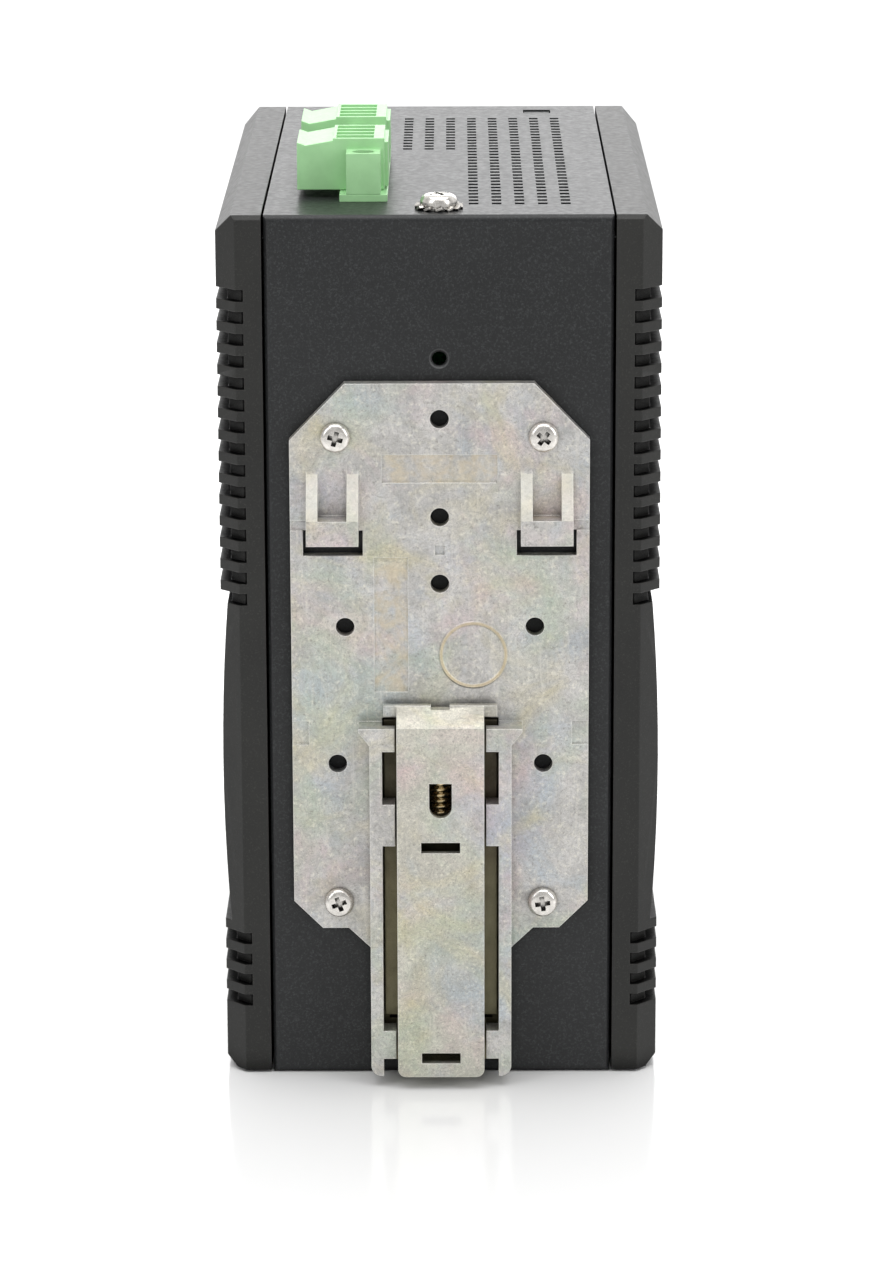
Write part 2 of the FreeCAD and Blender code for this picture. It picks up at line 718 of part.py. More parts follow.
def build_cover(label, side):
    """Die-cast side cover with cooling grooves, a bulging face and bevelled corners."""
    piece = Piece(label)
    drop = size("cover_drop")
    foot = size("cover_foot_bevel")
    down = size("cover_top_bevel_down")
    lower_end = size("lower_groove_top") + size("groove_pitch") - size("groove_height") / 2
    upper_end = (size("upper_groove_top") - size("groove_pitch") * (count("upper_grooves") - 1)
                 - size("groove_height") / 2)
    low_face = case_half - size("bulge_foot_inset")
    high_face = case_half - size("bulge_top_inset")
    radius = size("bulge_radius")
    chord = math.hypot(upper_end.number - lower_end.number, high_face.number - low_face.number)
    sagitta = radius.number - math.sqrt(radius.number ** 2 - chord ** 2 / 4)
    middle = ((low_face.number + high_face.number) / 2 + sagitta,
              (upper_end.number + lower_end.number) / 2)
    outline = [(cover_inner, drop), (case_half - foot, drop), (case_half, drop + foot),
               (case_half, lower_end), (low_face, lower_end), Round(radius, middle),
               (high_face, upper_end), (case_half, upper_end), (case_half, height - down),
               (case_half - size("cover_top_bevel_across"), height), (cover_inner, height)]
    outline = [Round(entry.radius, (as_size(entry.through[0]) * side, entry.through[1]))
               if isinstance(entry, Round) else (as_size(entry[0]) * side, entry[1])
               for entry in outline]
    piece.pad([outline], "XZ_Plane", rear, front)
    # upright corners
    corner = size("cover_corner")
    beyond = case_half + 1
    for sign, level in ((-1, rear), (1, front)):
        waste = [((case_half - corner) * side, level), (beyond * side, level - (corner + 1) * sign),
                 (beyond * side, level + sign), ((case_half - corner) * side, level + sign)]
        piece.cut([waste], "XY_Plane", 0, height)
    rim = size("cover_rim")
    for sign, level in ((-1, rear), (1, front)):
        waste = [(level, height - rim), (level, height + 1), (level - rim * sign, height + 1),
                 (level - rim * sign, height)]
        piece.cut([waste], "YZ_Plane", (cover_inner - 1) * side, beyond * side)
    # hollow inside
    edge, end = size("cover_hollow_edge"), size("cover_hollow_end")
    hollow = rectangle(rear + edge, end, front - edge, height - end)
    piece.cut([hollow], "YZ_Plane", cover_inner * side, (cover_inner + size("cover_hollow")) * side)
    # cooling grooves
    half = size("groove_height") / 2
    for top, number in ((size("upper_groove_top"), count("upper_grooves")),
                        (size("lower_groove_top"), count("lower_grooves"))):
        feature = piece.cut([groove_outline(side)], "XY_Plane", top - half, top + half)
        repeat_down(piece, feature, size("groove_pitch"), number)
    # spacing bosses; the screws come through the frame from inside the box
    half_boss = size("cover_boss") / 2
    bosses = [rectangle(along - half_boss, up - half_boss, along + half_boss, up + half_boss)
              for along, up in cover_boss_places]
    piece.pad(bosses, "YZ_Plane", box_half * side, cover_inner * side)
    bores = [regular_outline(along, up, size("cover_bore")) for along, up in cover_screw_places]
    piece.cut(bores, "YZ_Plane", box_half * side, (box_half + size("cover_screw_grip") + 0.5) * side)
    keep_piece(piece)


def repeat_down(piece, feature, pitch, number):
    """Copies of a feature below it."""
    pattern = piece.body.newObject("PartDesign::LinearPattern", piece._name("row"))
    pattern.Originals = [feature]
    axis = [part for part in piece.body.Origin.OriginFeatures if part.Role == "Z_Axis"][0]
    pattern.Direction = (axis, [""])
    pattern.Reversed = True
    bind(pattern, "Length", pitch * (number - 1))
    pattern.Occurrences = number
    piece._finish(pattern, 0)


# ---------------------------------------------------------------- rail clip plate

plate_half = size("plate_half")
plate_top = size("plate_top")
plate_foot = size("plate_foot")
guide_inner = size("guide_inner")
guide_outer = size("guide_outer")
channel_top = rail_seat + 0.1
flange_rear = channel_floor - size("latch_play")
flange_front = flange_rear - size("latch_flange")
keeper_rear = flange_front - fit
top_keeper_rear = guide_face + size("top_keeper")
wing_front = top_keeper_rear + fit
guide_top = channel_top - 0.7


def build_plate():
    """Die-cast plate: two hooks above, two guides with keeper tabs below."""
    piece = Piece("rail_plate")
    low = size("guide_foot")
    side_low = plate_foot + size("plate_foot_bevel")
    side_high = plate_top - size("plate_top_bevel")
    right = [(guide_outer, low), (guide_outer, plate_foot - 3.9),
             (size("plate_foot_half"), plate_foot), (plate_half - size("plate_foot_bevel"), plate_foot),
             (plate_half, side_low), (plate_half, side_high), (size("plate_top_half"), plate_top)]
    left = [(-across, up) for across, up in reversed(right)]
    piece.pad([right + left], "XZ_Plane", rear, plate_face)
    piece.pad(both_sides([(guide_inner, low), (guide_outer, low), (guide_outer, guide_top - size("guide_flare_foot")),
                          (guide_outer + size("guide_flare"), guide_top - 0.6),
                          (guide_outer + size("guide_flare"), guide_top), (guide_inner, guide_top)]),
              "XZ_Plane", plate_face, guide_face)
    piece.dress("Fillet", size("guide_round"), lambda edge: runs_along(edge, "y")
                and abs(abs(edge.CenterOfMass.x) - guide_outer.number) < 0.02
                and abs(edge.CenterOfMass.z - low.number) < 0.02)
    piece.cut([rectangle(-guide_inner, low - 1, guide_inner, channel_top)],
              "XZ_Plane", plate_face, channel_floor)
    piece.cut([rectangle(-guide_inner, low - 1, guide_inner, low + 0.9),
               rectangle(-guide_inner + 1.1, low + 9.1, guide_inner - 1.1, low + 12.4)],
              "XZ_Plane", channel_floor, rear)
    tabs = []
    for name in ("low_tab", "middle_tab"):
        tabs += both_sides(rectangle(size("tab_inner"), low + size(f"{name}_foot"),
                                     guide_inner, low + size(f"{name}_top")))
    piece.pad(tabs, "XZ_Plane", keeper_rear, guide_face)
    # the uppermost tabs are thin: the latch's wings pass behind them
    tab = rectangle(size("tab_inner"), guide_top - size("top_tab"), guide_inner, guide_top)
    piece.pad(both_sides(tab), "XZ_Plane", top_keeper_rear, guide_face)

    # hooks with their windows and ribs
    inner = size("hook_inner")
    outer = inner + size("hook_width")
    roof = ceiling + size("hook_roof")
    lip = ceiling - size("hook_lip")
    proud = plate_face - size("hook_proud")
    piece.pad(both_sides(rectangle(inner, ceiling, outer, roof)), "XZ_Plane", plate_face, proud)
    piece.pad(both_sides(rectangle(inner, lip, outer, ceiling)), "XZ_Plane", rail_edge, proud)
    side_play = size("window_side")
    window = rectangle(inner - side_play, ceiling - size("window_height"), outer + side_play, ceiling)
    piece.cut(both_sides(window), "XZ_Plane", plate_face, rear)
    rib = size("hook_rib")
    rib_outline = [(plate_face, roof), (proud, roof), (plate_face, roof + size("hook_rib_height"))]
    for start in (inner, outer - rib):
        for side in (-1, 1):
            piece.pad([rib_outline], "YZ_Plane", start * side, (start + rib) * side)

    # post that carries the latch spring
    post_top = size("post_top")
    post = rectangle(-size("post_half"), post_top - size("post_height"), size("post_half"), post_top)
    piece.pad([post], "XZ_Plane", channel_floor, spring_axis - 2.6)

    # plain holes, screw holes and the blank shallow fields
    holes = [Disc(0, plate_top - 6.5, size("plate_hole_bore") / 2),
             Disc(0, ceiling + 2.4, size("plate_hole_bore") / 2),
             Disc(0, ceiling - 9.95, size("plate_hole_bore") / 2)]
    for side in (-1, 1):
        holes.append(Disc((plate_half - 9.8) * side, ceiling - 18.0, size("plate_hole_bore") / 2))
        holes.append(Disc((plate_half - 8.25) * side, ceiling - 43.8, size("plate_hole_bore") / 2))
    holes += [regular_outline(across, up, size("screw_shank") + 0.5) for across, up in plate_screws]
    piece.cut(holes, "XZ_Plane", plate_face, rear)
    fields = [rectangle(-10.4, ceiling + 8.75, 10.4, ceiling + 13.9),
              rectangle(-11.9, ceiling - 30.2, -5.8, ceiling - 5.1)]
    piece.cut(fields, "XZ_Plane", plate_face, plate_face + size("plate_field"))
    marks = both_sides(rectangle(outer, ceiling, plate_half, ceiling + 1.8))
    marks += both_sides(rectangle(plate_half - 3.0, guide_top - 4.4, plate_half, guide_top))
    marks.append(rectangle(-0.85, ceiling - 4.55, 0.85, ceiling - 2.85))
    piece.cut(marks, "XZ_Plane", plate_face, plate_face + size("plate_mark"))
    keep_piece(piece)


# ---------------------------------------------------------------- latch and spring

latch_inner = latch_face + size("latch_wall")
spring_axis = rear - size("spring_back")


def build_latch():
    """Hollow slide with two flanges behind the keeper tabs and a sloping nose."""
    piece = Piece("rail_latch")
    half = size("latch_half")
    foot = size("latch_foot")
    body = rectangle(-half, foot, half, rail_seat)
    piece.pad([body], "XZ_Plane", flange_rear, latch_face)
    piece.dress("Fillet", size("latch_corner"), lambda edge: runs_along(edge, "y")
                and abs(edge.CenterOfMass.z - foot.number) < 0.02)
    flange_half = size("latch_flange_half")
    flange = rectangle(-flange_half, size("flange_foot"), flange_half, rail_seat - 0.2)
    piece.pad([flange], "XZ_Plane", flange_rear, flange_front)
    wall = size("latch_wall")
    hollow = rectangle(-half + wall, foot + wall, half - wall, size("spring_seat"))
    piece.cut([hollow], "XZ_Plane", flange_rear, latch_inner)
    nose = [(rail_edge, rail_seat), (latch_face, rail_seat),
            (wing_front + fit, nose_top), (rail_edge, nose_top)]
    piece.pad([nose], "YZ_Plane", -half, half)
    wing = rectangle(-flange_half - 0.05, nose_top - size("latch_wing"), flange_half + 0.05, nose_top)
    piece.pad([wing], "XZ_Plane", rail_edge, wing_front)
    piece.cut([rectangle(-1.7, nose_top - 0.6, 1.7, nose_top)], "XZ_Plane", rail_edge, latch_face)
    side = size("window_half")
    low = size("window_foot")
    window = [(-side, low + side), Round(side, (0, low), low + side), (side, low + side),
              (side, size("window_top")), (-side, size("window_top"))]
    across = size("slot_half")
    half_slot = size("slot_height") / 2
    slots = [rectangle(-across, size(name) - half_slot, across, size(name) + half_slot)
             for name in ("upper_slot", "lower_slot")]
    piece.cut([window] + slots, "XZ_Plane", latch_face, latch_inner)
    keep_piece(piece)


SPRING_SIDES = 8  # flat stretches in one turn of the wire


def build_spring():
    """Compression spring between the plate's post and the seat inside the latch: square wire sections."""
    wire = sheet.get("spring_wire")
    radius = sheet.get("spring_radius")
    low = sheet.get("post_top") + wire / 2
    length = sheet.get("spring_seat") - wire / 2 - low
    turns = sheet.get("spring_turns")
    total = int(round(turns * SPRING_SIDES))
    sections = []
    for step in range(total + 1):
        angle = 2 * math.pi * turns * step / total
        middle = low + length * step / total
        section = []
        for across, up in ((-1, -1), (1, -1), (1, 1), (-1, 1)):
            reach = radius + across * wire / 2
            section.append(Vector(reach * math.cos(angle), spring_axis.number + reach * math.sin(angle),
                                  middle + up * wire / 2))
        sections.append(section)
    faces = [flat_face(sections[0]), flat_face(sections[-1])]
    for near, far in zip(sections, sections[1:]):
        for corner in range(4):
            following = (corner + 1) % 4
            faces.append(flat_face([near[corner], near[following], far[following]]))
            faces.append(flat_face([near[corner], far[following], far[corner]]))
    spring = Part.makeSolid(Part.makeShell(faces))
    if spring.Volume < 0:
        spring.reverse()
    group("latch_spring", [spring])


def flat_face(corners):
    return Part.Face(Part.makePolygon(corners + [corners[0]]))


# ---------------------------------------------------------------- screws and nuts

def regular_bar(width, low, high, sides=6):
    """A regular bar along Z, given its width over the corners."""
    turns = [2 * math.pi * (corner % sides) / sides for corner in range(sides + 1)]
    corners = [Vector(width / 2 * math.cos(turn), width / 2 * math.sin(turn), low) for turn in turns]
    return Part.Face(Part.makePolygon(corners)).extrude(Vector(0, 0, high - low))


HEAD_SIDES = 16


def screw_shape(shank, length, head, tall, inside=False):
    """A plain screw standing on the origin: head above, threaded length as a hexagonal bar below."""
    top = regular_bar(head, 0, tall, 6 if inside else HEAD_SIDES)
    return top.fuse(regular_bar(shank, -length, 0))


def nut_shape(outer, bore, length, collar, collar_length):
    """A hexagonal rivet nut standing on its collar's face, its body below the origin."""
    nut = regular_bar(outer, -length, 0).fuse(regular_bar(collar, 0, collar_length))
    return nut.cut(regular_bar(bore, -length - 1, collar_length + 1))


def turned(axis, degrees):
    return Rotation(Vector(*axis), degrees)


FACING_REAR = turned((1, 0, 0), 90)
FACING_RIGHT = turned((0, 1, 0), 90)
FACING_LEFT = turned((0, 1, 0), -90)


def build_screws():
    shank = sheet.get("screw_shank")
    collar = 0.8
    rear_inside = (rear + sheet_thick).number
    screw = screw_shape(shank, rear_inside - plate_face.number + collar,
                        sheet.get("screw_head"), sheet.get("screw_head_height"))
    spots = [(across.number, plate_face.number, up.number) for across, up in plate_screws]
    group("plate_screws", copies(screw, spots, FACING_REAR))

    # rivet nuts in the rear wall and in the top, their collars inside
    ground = sheet.get("ground_shank")
    earth = (0, rear.number + sheet.get("ground_edge"))
    nut = nut_shape(sheet.get("nut_body"), shank + 0.2, sheet_thick.number, 7.0, collar)
    spots = [(across.number, rear_inside, up.number) for across, up in plate_screws]
    nuts = copies(nut, spots, turned((1, 0, 0), -90))
    nut = nut_shape(sheet.get("ground_nut"), ground + 0.2, sheet_thick.number, 8.0, 2.4)
    nuts += copies(nut, [(*earth, height.number - sheet_thick.number)], turned((1, 0, 0), 180))
    group("press_nuts", nuts)

    # earth screw on its toothed washer
    screw = screw_shape(ground, 6.0, sheet.get("ground_head"), sheet.get("ground_head_height"))
    group("ground_screw", copies(screw, [(*earth, height.number + sheet.get("washer_thick"))]))

    # cover screws, from inside the box
    frame_inside = (box_half - sheet_thick).number
    screw = screw_shape(shank, sheet_thick.number + sheet.get("cover_screw_grip"),
                        sheet.get("cover_screw_head"), 1.8, True)
    shapes = []
    for side, rotation in ((1, FACING_LEFT), (-1, FACING_RIGHT)):
        spots = [(frame_inside * side, along.number, up.number) for along, up in cover_screw_places]
        shapes += copies(screw, spots, rotation)
    group("cover_screws", shapes)

    # standoffs and board screws
    length = sheet.get("standoff")
    post = regular_bar(5.5, 0, length).cut(regular_bar(2.6, -1, length + 1))
    screw = screw_shape(2.4, board_thick.number + length - 0.4, 4.4, 1.6, True)
    posts = []
    shapes = []
    for side, rotation in ((1, FACING_LEFT), (-1, FACING_RIGHT)):
        outer = (board_outer.number + length) * side
        posts += copies(post, [(outer, along.number, up.number) for along, up in standoff_places], rotation)
        inner = board_inner.number * side
        shapes += copies(screw, [(inner, along.number, up.number) for along, up in standoff_places], rotation)
    group("board_standoffs", posts)
    group("board_screws", shapes)

    # lamp board screws
    screw = screw_shape(1.8, board_thick.number + 4.0, 3.6, 1.3, True)
    spots = [(sheet.get("lamp_place"), lamp_board_rear.number, up.number) for up in lamp_screws]
    group("led_board_screws", copies(screw, spots, FACING_REAR))


def build_washer():
    """Lock washer whose outer teeth are twisted out of its plane."""
    thick = sheet.get("washer_thick")
    outer = sheet.get("washer_outer") / 2
    ring = sheet.get("washer_ring") / 2
    number = count("washer_teeth")
    wide = math.pi * (ring + outer) / number * 0.62
    twist = sheet.get("washer_twist")
    root = sheet.get("washer_root")
    slope = math.radians(twist)
    low = (wide * math.sin(slope) + thick * 0.7 * math.cos(slope)) / 2
    washer = regular_bar(ring * 2, 0, thick, number * 2)
    washer = washer.cut(regular_bar(sheet.get("ground_shank") + 0.3, -1, thick + 1, number))
    for tooth in range(number):
        bar = solid_box((ring - root, -wide / 2, -thick * 0.35), (outer, wide / 2, thick * 0.35))
        bar.rotate(Vector(), Vector(1, 0, 0), twist)
        bar.translate(Vector(0, 0, low))
        bar.rotate(Vector(), Vector(0, 0, 1), 360.0 * tooth / number)
        washer = washer.fuse(bar)
    spot = (0, rear.number + sheet.get("ground_edge"), height.number)
    group("ground_washer", copies(washer, [spot]))


# ---------------------------------------------------------------- terminal blocks

cavity_left = header_left + size("collar_overhang") + size("header_wall")
cavity_right = header_right - size("collar_overhang") - size("header_wall")
header_floor = bridge_top + 1.5
collar_top = height + size("header_flange")
plug_foot = height + size("plug_foot")
plug_top = height + size("plug_top")
entry_foot = height + size("entry_foot")
entry_top = entry_foot + size("entry_height")
pin_half = size("pin_side") / 2
collar = size("collar_overhang")
clamp_middle = -size("plug_right") - size("clamp_edge")
sink = size("flange_sink")


def pole_places(start):
    return [start + pole_first + size("pole_pitch") * number for number in range(count("poles"))]


def build_header(label, start):
    """Upright header that stands on the terminal board and looks through the box's top."""
    piece = Piece(label)
    length = size("plug_length")
    piece.pad([rectangle(header_left, start, header_right, start + length)], "XY_Plane", height, collar_top)
    piece.pad([rectangle(header_left + collar, start + collar, header_right - collar, start + length - collar)],
              "XY_Plane", bridge_top, height)
    flange = size("plug_flange")
    piece.cut([rectangle(cavity_left, start + flange, cavity_right, start + length - flange)],
              "XY_Plane", collar_top, header_floor)
    gap = pin_half + 0.1
    pins = [rectangle(header_middle - gap, along - gap, header_middle + gap, along + gap)
            for along in pole_places(start)]
    piece.cut(pins, "XY_Plane", header_floor, bridge_top)
    bores = [regular_outline(header_middle, start + flange / 2, size("flange_thread")),
             regular_outline(header_middle, start + length - flange / 2, size("flange_thread"))]
    piece.cut(bores, "XY_Plane", collar_top, height - 4.5)
    keep_piece(piece)


def build_plug(label, start):
    """Plug with one wire entry and one clamping screw for each pole."""
    piece = Piece(label)
    length = size("plug_length")
    flange = size("plug_flange")
    first = start + flange
    last = start + length - flange
    left = -size("plug_left")
    right = -size("plug_right")
    profile = [(left, plug_foot), (right, plug_foot), (right, plug_top), (left + 6.55, plug_top),
               (left + 6.55, plug_top - 0.4), (left + 1.55, plug_top - 1.3),
               (left + 0.05, plug_top - 0.75), (left, plug_top - 1.0)]
    piece.pad([profile], "XZ_Plane", first, last)
    # foot that goes down into the header
    piece.pad([rectangle(cavity_left + fit, first + fit, cavity_right - fit, last - fit)],
              "XY_Plane", header_floor + 0.6, plug_foot)
    # screw flanges
    block_left = -size("flange_block_left")
    block_right = -size("flange_block_right")
    block_top = height + size("flange_block_top")
    flanges = [rectangle(block_left, start, block_right, first),
               rectangle(block_left, last, block_right, start + length)]
    piece.pad(flanges, "XY_Plane", collar_top, block_top)
    piece.pad([rectangle(right, first + 0.8, right + 0.7, last - 0.8)], "XY_Plane",
              plug_foot + 0.6, plug_top - 0.8)
    # recesses: clamping screws on top, wire entries on the left, flange screws
    poles = pole_places(start)
    half = size("pole_pitch") / 2 - 0.35
    clamp = clamp_middle
    piece.cut([rectangle(clamp - 3.4, along - half, clamp + 3.4, along + half) for along in poles],
              "XY_Plane", plug_top, plug_top - 1.6)
    piece.cut([regular_outline(clamp, along, size("clamp_head") + 0.2) for along in poles],
              "XY_Plane", plug_top - 1.6, entry_top - 0.3)
    wide = size("entry_size") / 2
    piece.cut([rectangle(along - wide, entry_foot, along + wide, entry_top) for along in poles],
              "YZ_Plane", left, clamp + 2.6)
    gap = pin_half + 0.1
    piece.cut([rectangle(header_middle - gap, along - gap, header_middle + gap, along + gap)
               for along in poles], "XY_Plane", header_floor + 0.6, entry_foot - 0.6)
    spots = [start + flange / 2, start + length - flange / 2]
    piece.cut([regular_outline(header_middle, along, 4.0, 12) for along in spots], "XY_Plane",
              block_top, block_top - sink)
    piece.cut([regular_outline(header_middle, along, size("flange_thread")) for along in spots], "XY_Plane",
              block_top - sink, collar_top)
    keep_piece(piece)


def build_terminal_metal():
    pins = []
    clamps = []
    screws = []
    flange_screws = []
    middle = header_middle.number
    clamp = clamp_middle.number
    flange = sheet.get("plug_flange") / 2
    seat = (height + size("flange_block_top") - sink).number
    for start in block_starts:
        for along in pole_places(start):
            along = along.number
            half = pin_half.number
            pins.append(solid_box((middle - half, along - half, bridge_top.number),
                                  (middle + half, along + half, plug_foot.number - 2.0)))
            wide = sheet.get("entry_size") / 2
            cage = solid_box((clamp - 3.6, along - wide, entry_foot.number),
                             (clamp + 2.6, along + wide, entry_top.number))
            mouth = solid_box((clamp - 4, along - wide + 0.4, entry_foot.number + 0.4),
                              (clamp + 2.1, along + wide - 0.4, entry_top.number - 0.5))
            clamps.append(cage.cut(mouth))
            screw = regular_bar(sheet.get("clamp_head"), 0, 2.2)
            screws += copies(screw, [(clamp, along, entry_top.number)])
        ends = (start.number + flange, start.number + sheet.get("plug_length") - flange)
        screw = screw_shape(2.0, seat - height.number + 4.0, 3.4, 1.6)
        flange_screws += copies(screw, [(middle, along, seat) for along in ends])
    group("header_pins", pins)
    group("wire_clamps", clamps)
    group("clamp_screws", screws)
    group("flange_screws", flange_screws)


# ---------------------------------------------------------------- boards and parts

board_foot = size("board_edge")
board_top = height - size("board_edge")
board_rear = rear + 4.0
board_front = front - size("bezel_face") - 2.0
lamp_board_front = front - size("bezel_face") - lamp_boss
lamp_board_rear = lamp_board_front - board_thick


def board_piece(label, side):
    piece = Piece(label)
    outline = rectangle(board_rear, board_foot, board_front, board_top)
    piece.pad([outline], "YZ_Plane", board_inner * side, board_outer * side)
    # notches open at the board's edges for its screws
    half = size("board_notch") / 2
    notches = []
    for along, up in standoff_places:
        at_foot = up.number < height.number / 2
        low, high = (board_foot, up + half) if at_foot else (up - half, board_top)
        notches.append(rectangle(along - half, low, along + half, high))
    piece.cut(notches, "YZ_Plane", board_inner * side, board_outer * side)
    keep_piece(piece)


def build_jack(label, foot):
    """Shielded jack: a stepped port in its front."""
    piece = Piece(label)
    inner = -board_inner
    deep = size("jack_deep")
    wide = size("jack_wide")
    piece.pad([rectangle(inner, foot, inner + deep, foot + wide)],
              "XZ_Plane", jack_front - size("jack_long"), jack_front)
    centre = foot + wide / 2
    half = size("port_wide") / 2
    base = inner + 1.9
    ledge = base + size("port_deep")
    port = [(base, centre - half), (ledge, centre - half), (ledge, centre - 3.0),
            (ledge + 1.4, centre - 3.0), (ledge + 1.4, centre - 1.6), (ledge + 2.6, centre - 1.6),
            (ledge + 2.6, centre + 1.6), (ledge + 1.4, centre + 1.6), (ledge + 1.4, centre + 3.0),
            (ledge, centre + 3.0), (ledge, centre + half), (base, centre + half)]
    piece.cut([port], "XZ_Plane", jack_front, jack_front - size("port_long"))
    keep_piece(piece)


def build_cage(label, foot):
    """Open sheet cage for a fibre module."""
    piece = Piece(label)
    deep = size("cage_deep")
    wide = size("cage_wide")
    wall = size("cage_wall")
    piece.pad([rectangle(board_inner - deep, foot, board_inner, foot + wide)],
              "XZ_Plane", jack_front - size("cage_long"), jack_front)
    piece.cut([rectangle(board_inner - deep + wall, foot + wall, board_inner - wall, foot + wide - wall)],
              "XZ_Plane", jack_front, jack_front - size("cage_long") + 1.0)
    keep_piece(piece)


def build_electronics():
    board_piece("main_board", -1)
    board_piece("power_board", 1)
    for number, foot in enumerate(jack_feet, 1):
        build_jack(f"ethernet_jack_{number}", foot)
    for number, foot in enumerate(cage_feet, 1):
        build_cage(f"fibre_cage_{number}", foot)
    # one comb of contacts in each port
    contacts = []
    for foot in jack_feet:
        centre = (foot + size("jack_wide") / 2).number
        base = (-board_inner + 1.9).number
        back = (jack_front - size("port_long")).number
        contacts.append(solid_box((base, back, centre - 4.0), (base + 1.1, back + 9.0, centre + 4.0)))
    group("jack_contacts", contacts)

    bridge = Piece("terminal_board")
    start = rear + 12.0
    finish = block_starts[1] + size("plug_length") + 4.0
    bridge.pad([rectangle(-board_inner + fit, start, board_inner - fit, finish)],
               "XY_Plane", bridge_foot, bridge_top)
    keep_piece(bridge)
    connectors = []
    for side in (-1, 1):
        near = board_inner.number * side
        far = (board_inner.number - 6.0) * side
        connectors.append(solid_box((min(near, far), start.number + 8, bridge_foot.number - 7),
                                    (max(near, far), start.number + 34, bridge_foot.number)))
    group("edge_connectors", connectors)

    place_x = size("lamp_place")
    lamp_board = Piece("led_board")
    lamp_board.pad([rectangle(place_x - 5, lamp_heights[0] - 11, place_x + 5, lamp_heights[-1] + 8)],
                   "XZ_Plane", lamp_board_rear, lamp_board_front)
    lamp_board.cut([regular_outline(place_x, up, 2.0) for up in lamp_screws], "XZ_Plane",
                   lamp_board_rear, lamp_board_front)
    keep_piece(lamp_board)
    half = sheet.get("lamp_bore") / 2
    lamp = solid_box((-half, 0, -half), (half, 6.8, half))
    spots = [(place_x.number, lamp_board_front.number, up.number) for up in lamp_heights]
    group("status_leds", copies(lamp, spots))

    chip_out = board_outer + 1.6
    block("switch_chip", (-chip_out, -14, height / 2 - 14), (-board_outer, 14, height / 2 + 14))
    block("heat_spreader", (-cover_inner - size("cover_hollow"), -12, height / 2 - 12),
          (-chip_out, 12, height / 2 + 12))
    left = -board_inner.number
    transformers = []
    for foot in jack_feet:
        low = foot.number + 1.2
        transformers.append(solid_box((left, 24.0, low), (left + 6.0, 38.0, low + 13.4)))
    group("network_transformers", transformers)
    right = board_inner.number
    middle = height.number / 2
    core = solid_box((right - 15, -38, middle + 12), (right, -14, middle + 38))
    coil = solid_box((right - 13, -40, middle + 17), (right - 3, -12, middle + 33))
    group("power_transformer", [core.fuse(coil).removeSplitter()])
    can = regular_bar(12.4, 0, 20.0, 12)
    spots = [(right, -38.0, middle + up) for up in (-48.0, -32.0, -16.0)]
    group("filter_capacitors", copies(can, spots, FACING_LEFT))
    shapes = [solid_box((right - 7.5, -6.0, middle + up), (right, 6.0, middle + up + 12.0))
              for up in (-52.0, -34.0, 20.0)]
    group("power_inductors", shapes)


# ---------------------------------------------------------------- assembly and export

build_housing()
build_bezel()
build_cover("left_side_cover", -1)
build_cover("right_side_cover", 1)
build_plate()
build_latch()
build_spring()
build_screws()
build_washer()
for number, start in enumerate(block_starts, 1):
    build_header(f"terminal_header_{number}", start)
    build_plug(f"terminal_plug_{number}", start)
build_terminal_metal()
build_electronics()
doc.recompute()

for thing in doc.Objects:
    if "Invalid" in thing.State or "Error" in thing.State:
        raise ValueError(f"{thing.Name} is {thing.State}")

os.makedirs("parts", exist_ok=True)
for name, thing in nodes.items():
    shape = thing.Shape
    if shape.isNull() or not shape.isValid() or not shape.Solids:
        raise ValueError(f"{name} has no valid solid")
    shape.exportStep(f"parts/{name}.step")
print(len(nodes), "pieces")
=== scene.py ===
"""Looks of the DIN rail ethernet switch: coated steel box, ribbed covers, die-cast rail clip."""
import json
import math

import bmesh
import bpy
from mathutils import Matrix, Vector


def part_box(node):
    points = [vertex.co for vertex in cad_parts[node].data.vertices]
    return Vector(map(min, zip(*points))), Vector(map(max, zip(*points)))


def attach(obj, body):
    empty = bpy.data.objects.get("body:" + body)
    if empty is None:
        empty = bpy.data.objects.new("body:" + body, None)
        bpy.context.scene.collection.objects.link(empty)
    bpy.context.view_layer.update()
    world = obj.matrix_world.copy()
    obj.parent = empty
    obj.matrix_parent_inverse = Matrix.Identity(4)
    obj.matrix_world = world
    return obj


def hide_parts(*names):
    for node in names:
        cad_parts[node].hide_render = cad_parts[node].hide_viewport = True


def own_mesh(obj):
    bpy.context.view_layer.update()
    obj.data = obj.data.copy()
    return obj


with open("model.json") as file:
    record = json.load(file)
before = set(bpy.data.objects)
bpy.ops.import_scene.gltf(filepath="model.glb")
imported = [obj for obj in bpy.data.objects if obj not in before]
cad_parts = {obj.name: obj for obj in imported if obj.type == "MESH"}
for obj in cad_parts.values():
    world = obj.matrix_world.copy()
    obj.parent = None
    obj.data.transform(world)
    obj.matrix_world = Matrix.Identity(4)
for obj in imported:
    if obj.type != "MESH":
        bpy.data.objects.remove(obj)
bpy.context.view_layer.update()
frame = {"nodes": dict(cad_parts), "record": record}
nodes = frame["nodes"]

MM = 0.001                  # one millimetre, in metres
BEVEL_SAMPLES = 6           # rays of the shading that rounds edges
HOLLOW_SAMPLES = 5          # rays of the shading that finds hollows

# places on the rear, in millimetres
PLATE_THICK = 2.5
PLATE_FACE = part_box("rail_plate")[1].y / MM - PLATE_THICK
REAR_HOLE = (0.0, 135.6)            # across, up
CAST_RING = (6.06, 81.33)           # across, up
RING_RADIUS = 6.15


# ---------------------------------------------------------------- node helpers

def srgb(red, green, blue):
    """Linear colour from 0-255 screen values."""
    def linear(value):
        value /= 255.0
        return value / 12.92 if value <= 0.04045 else ((value + 0.055) / 1.055) ** 2.4
    return (linear(red), linear(green), linear(blue), 1.0)


def toned(colour, share):
    """A 0-255 colour made darker or lighter, as a linear one."""
    return srgb(*[min(255, value * share) for value in colour])


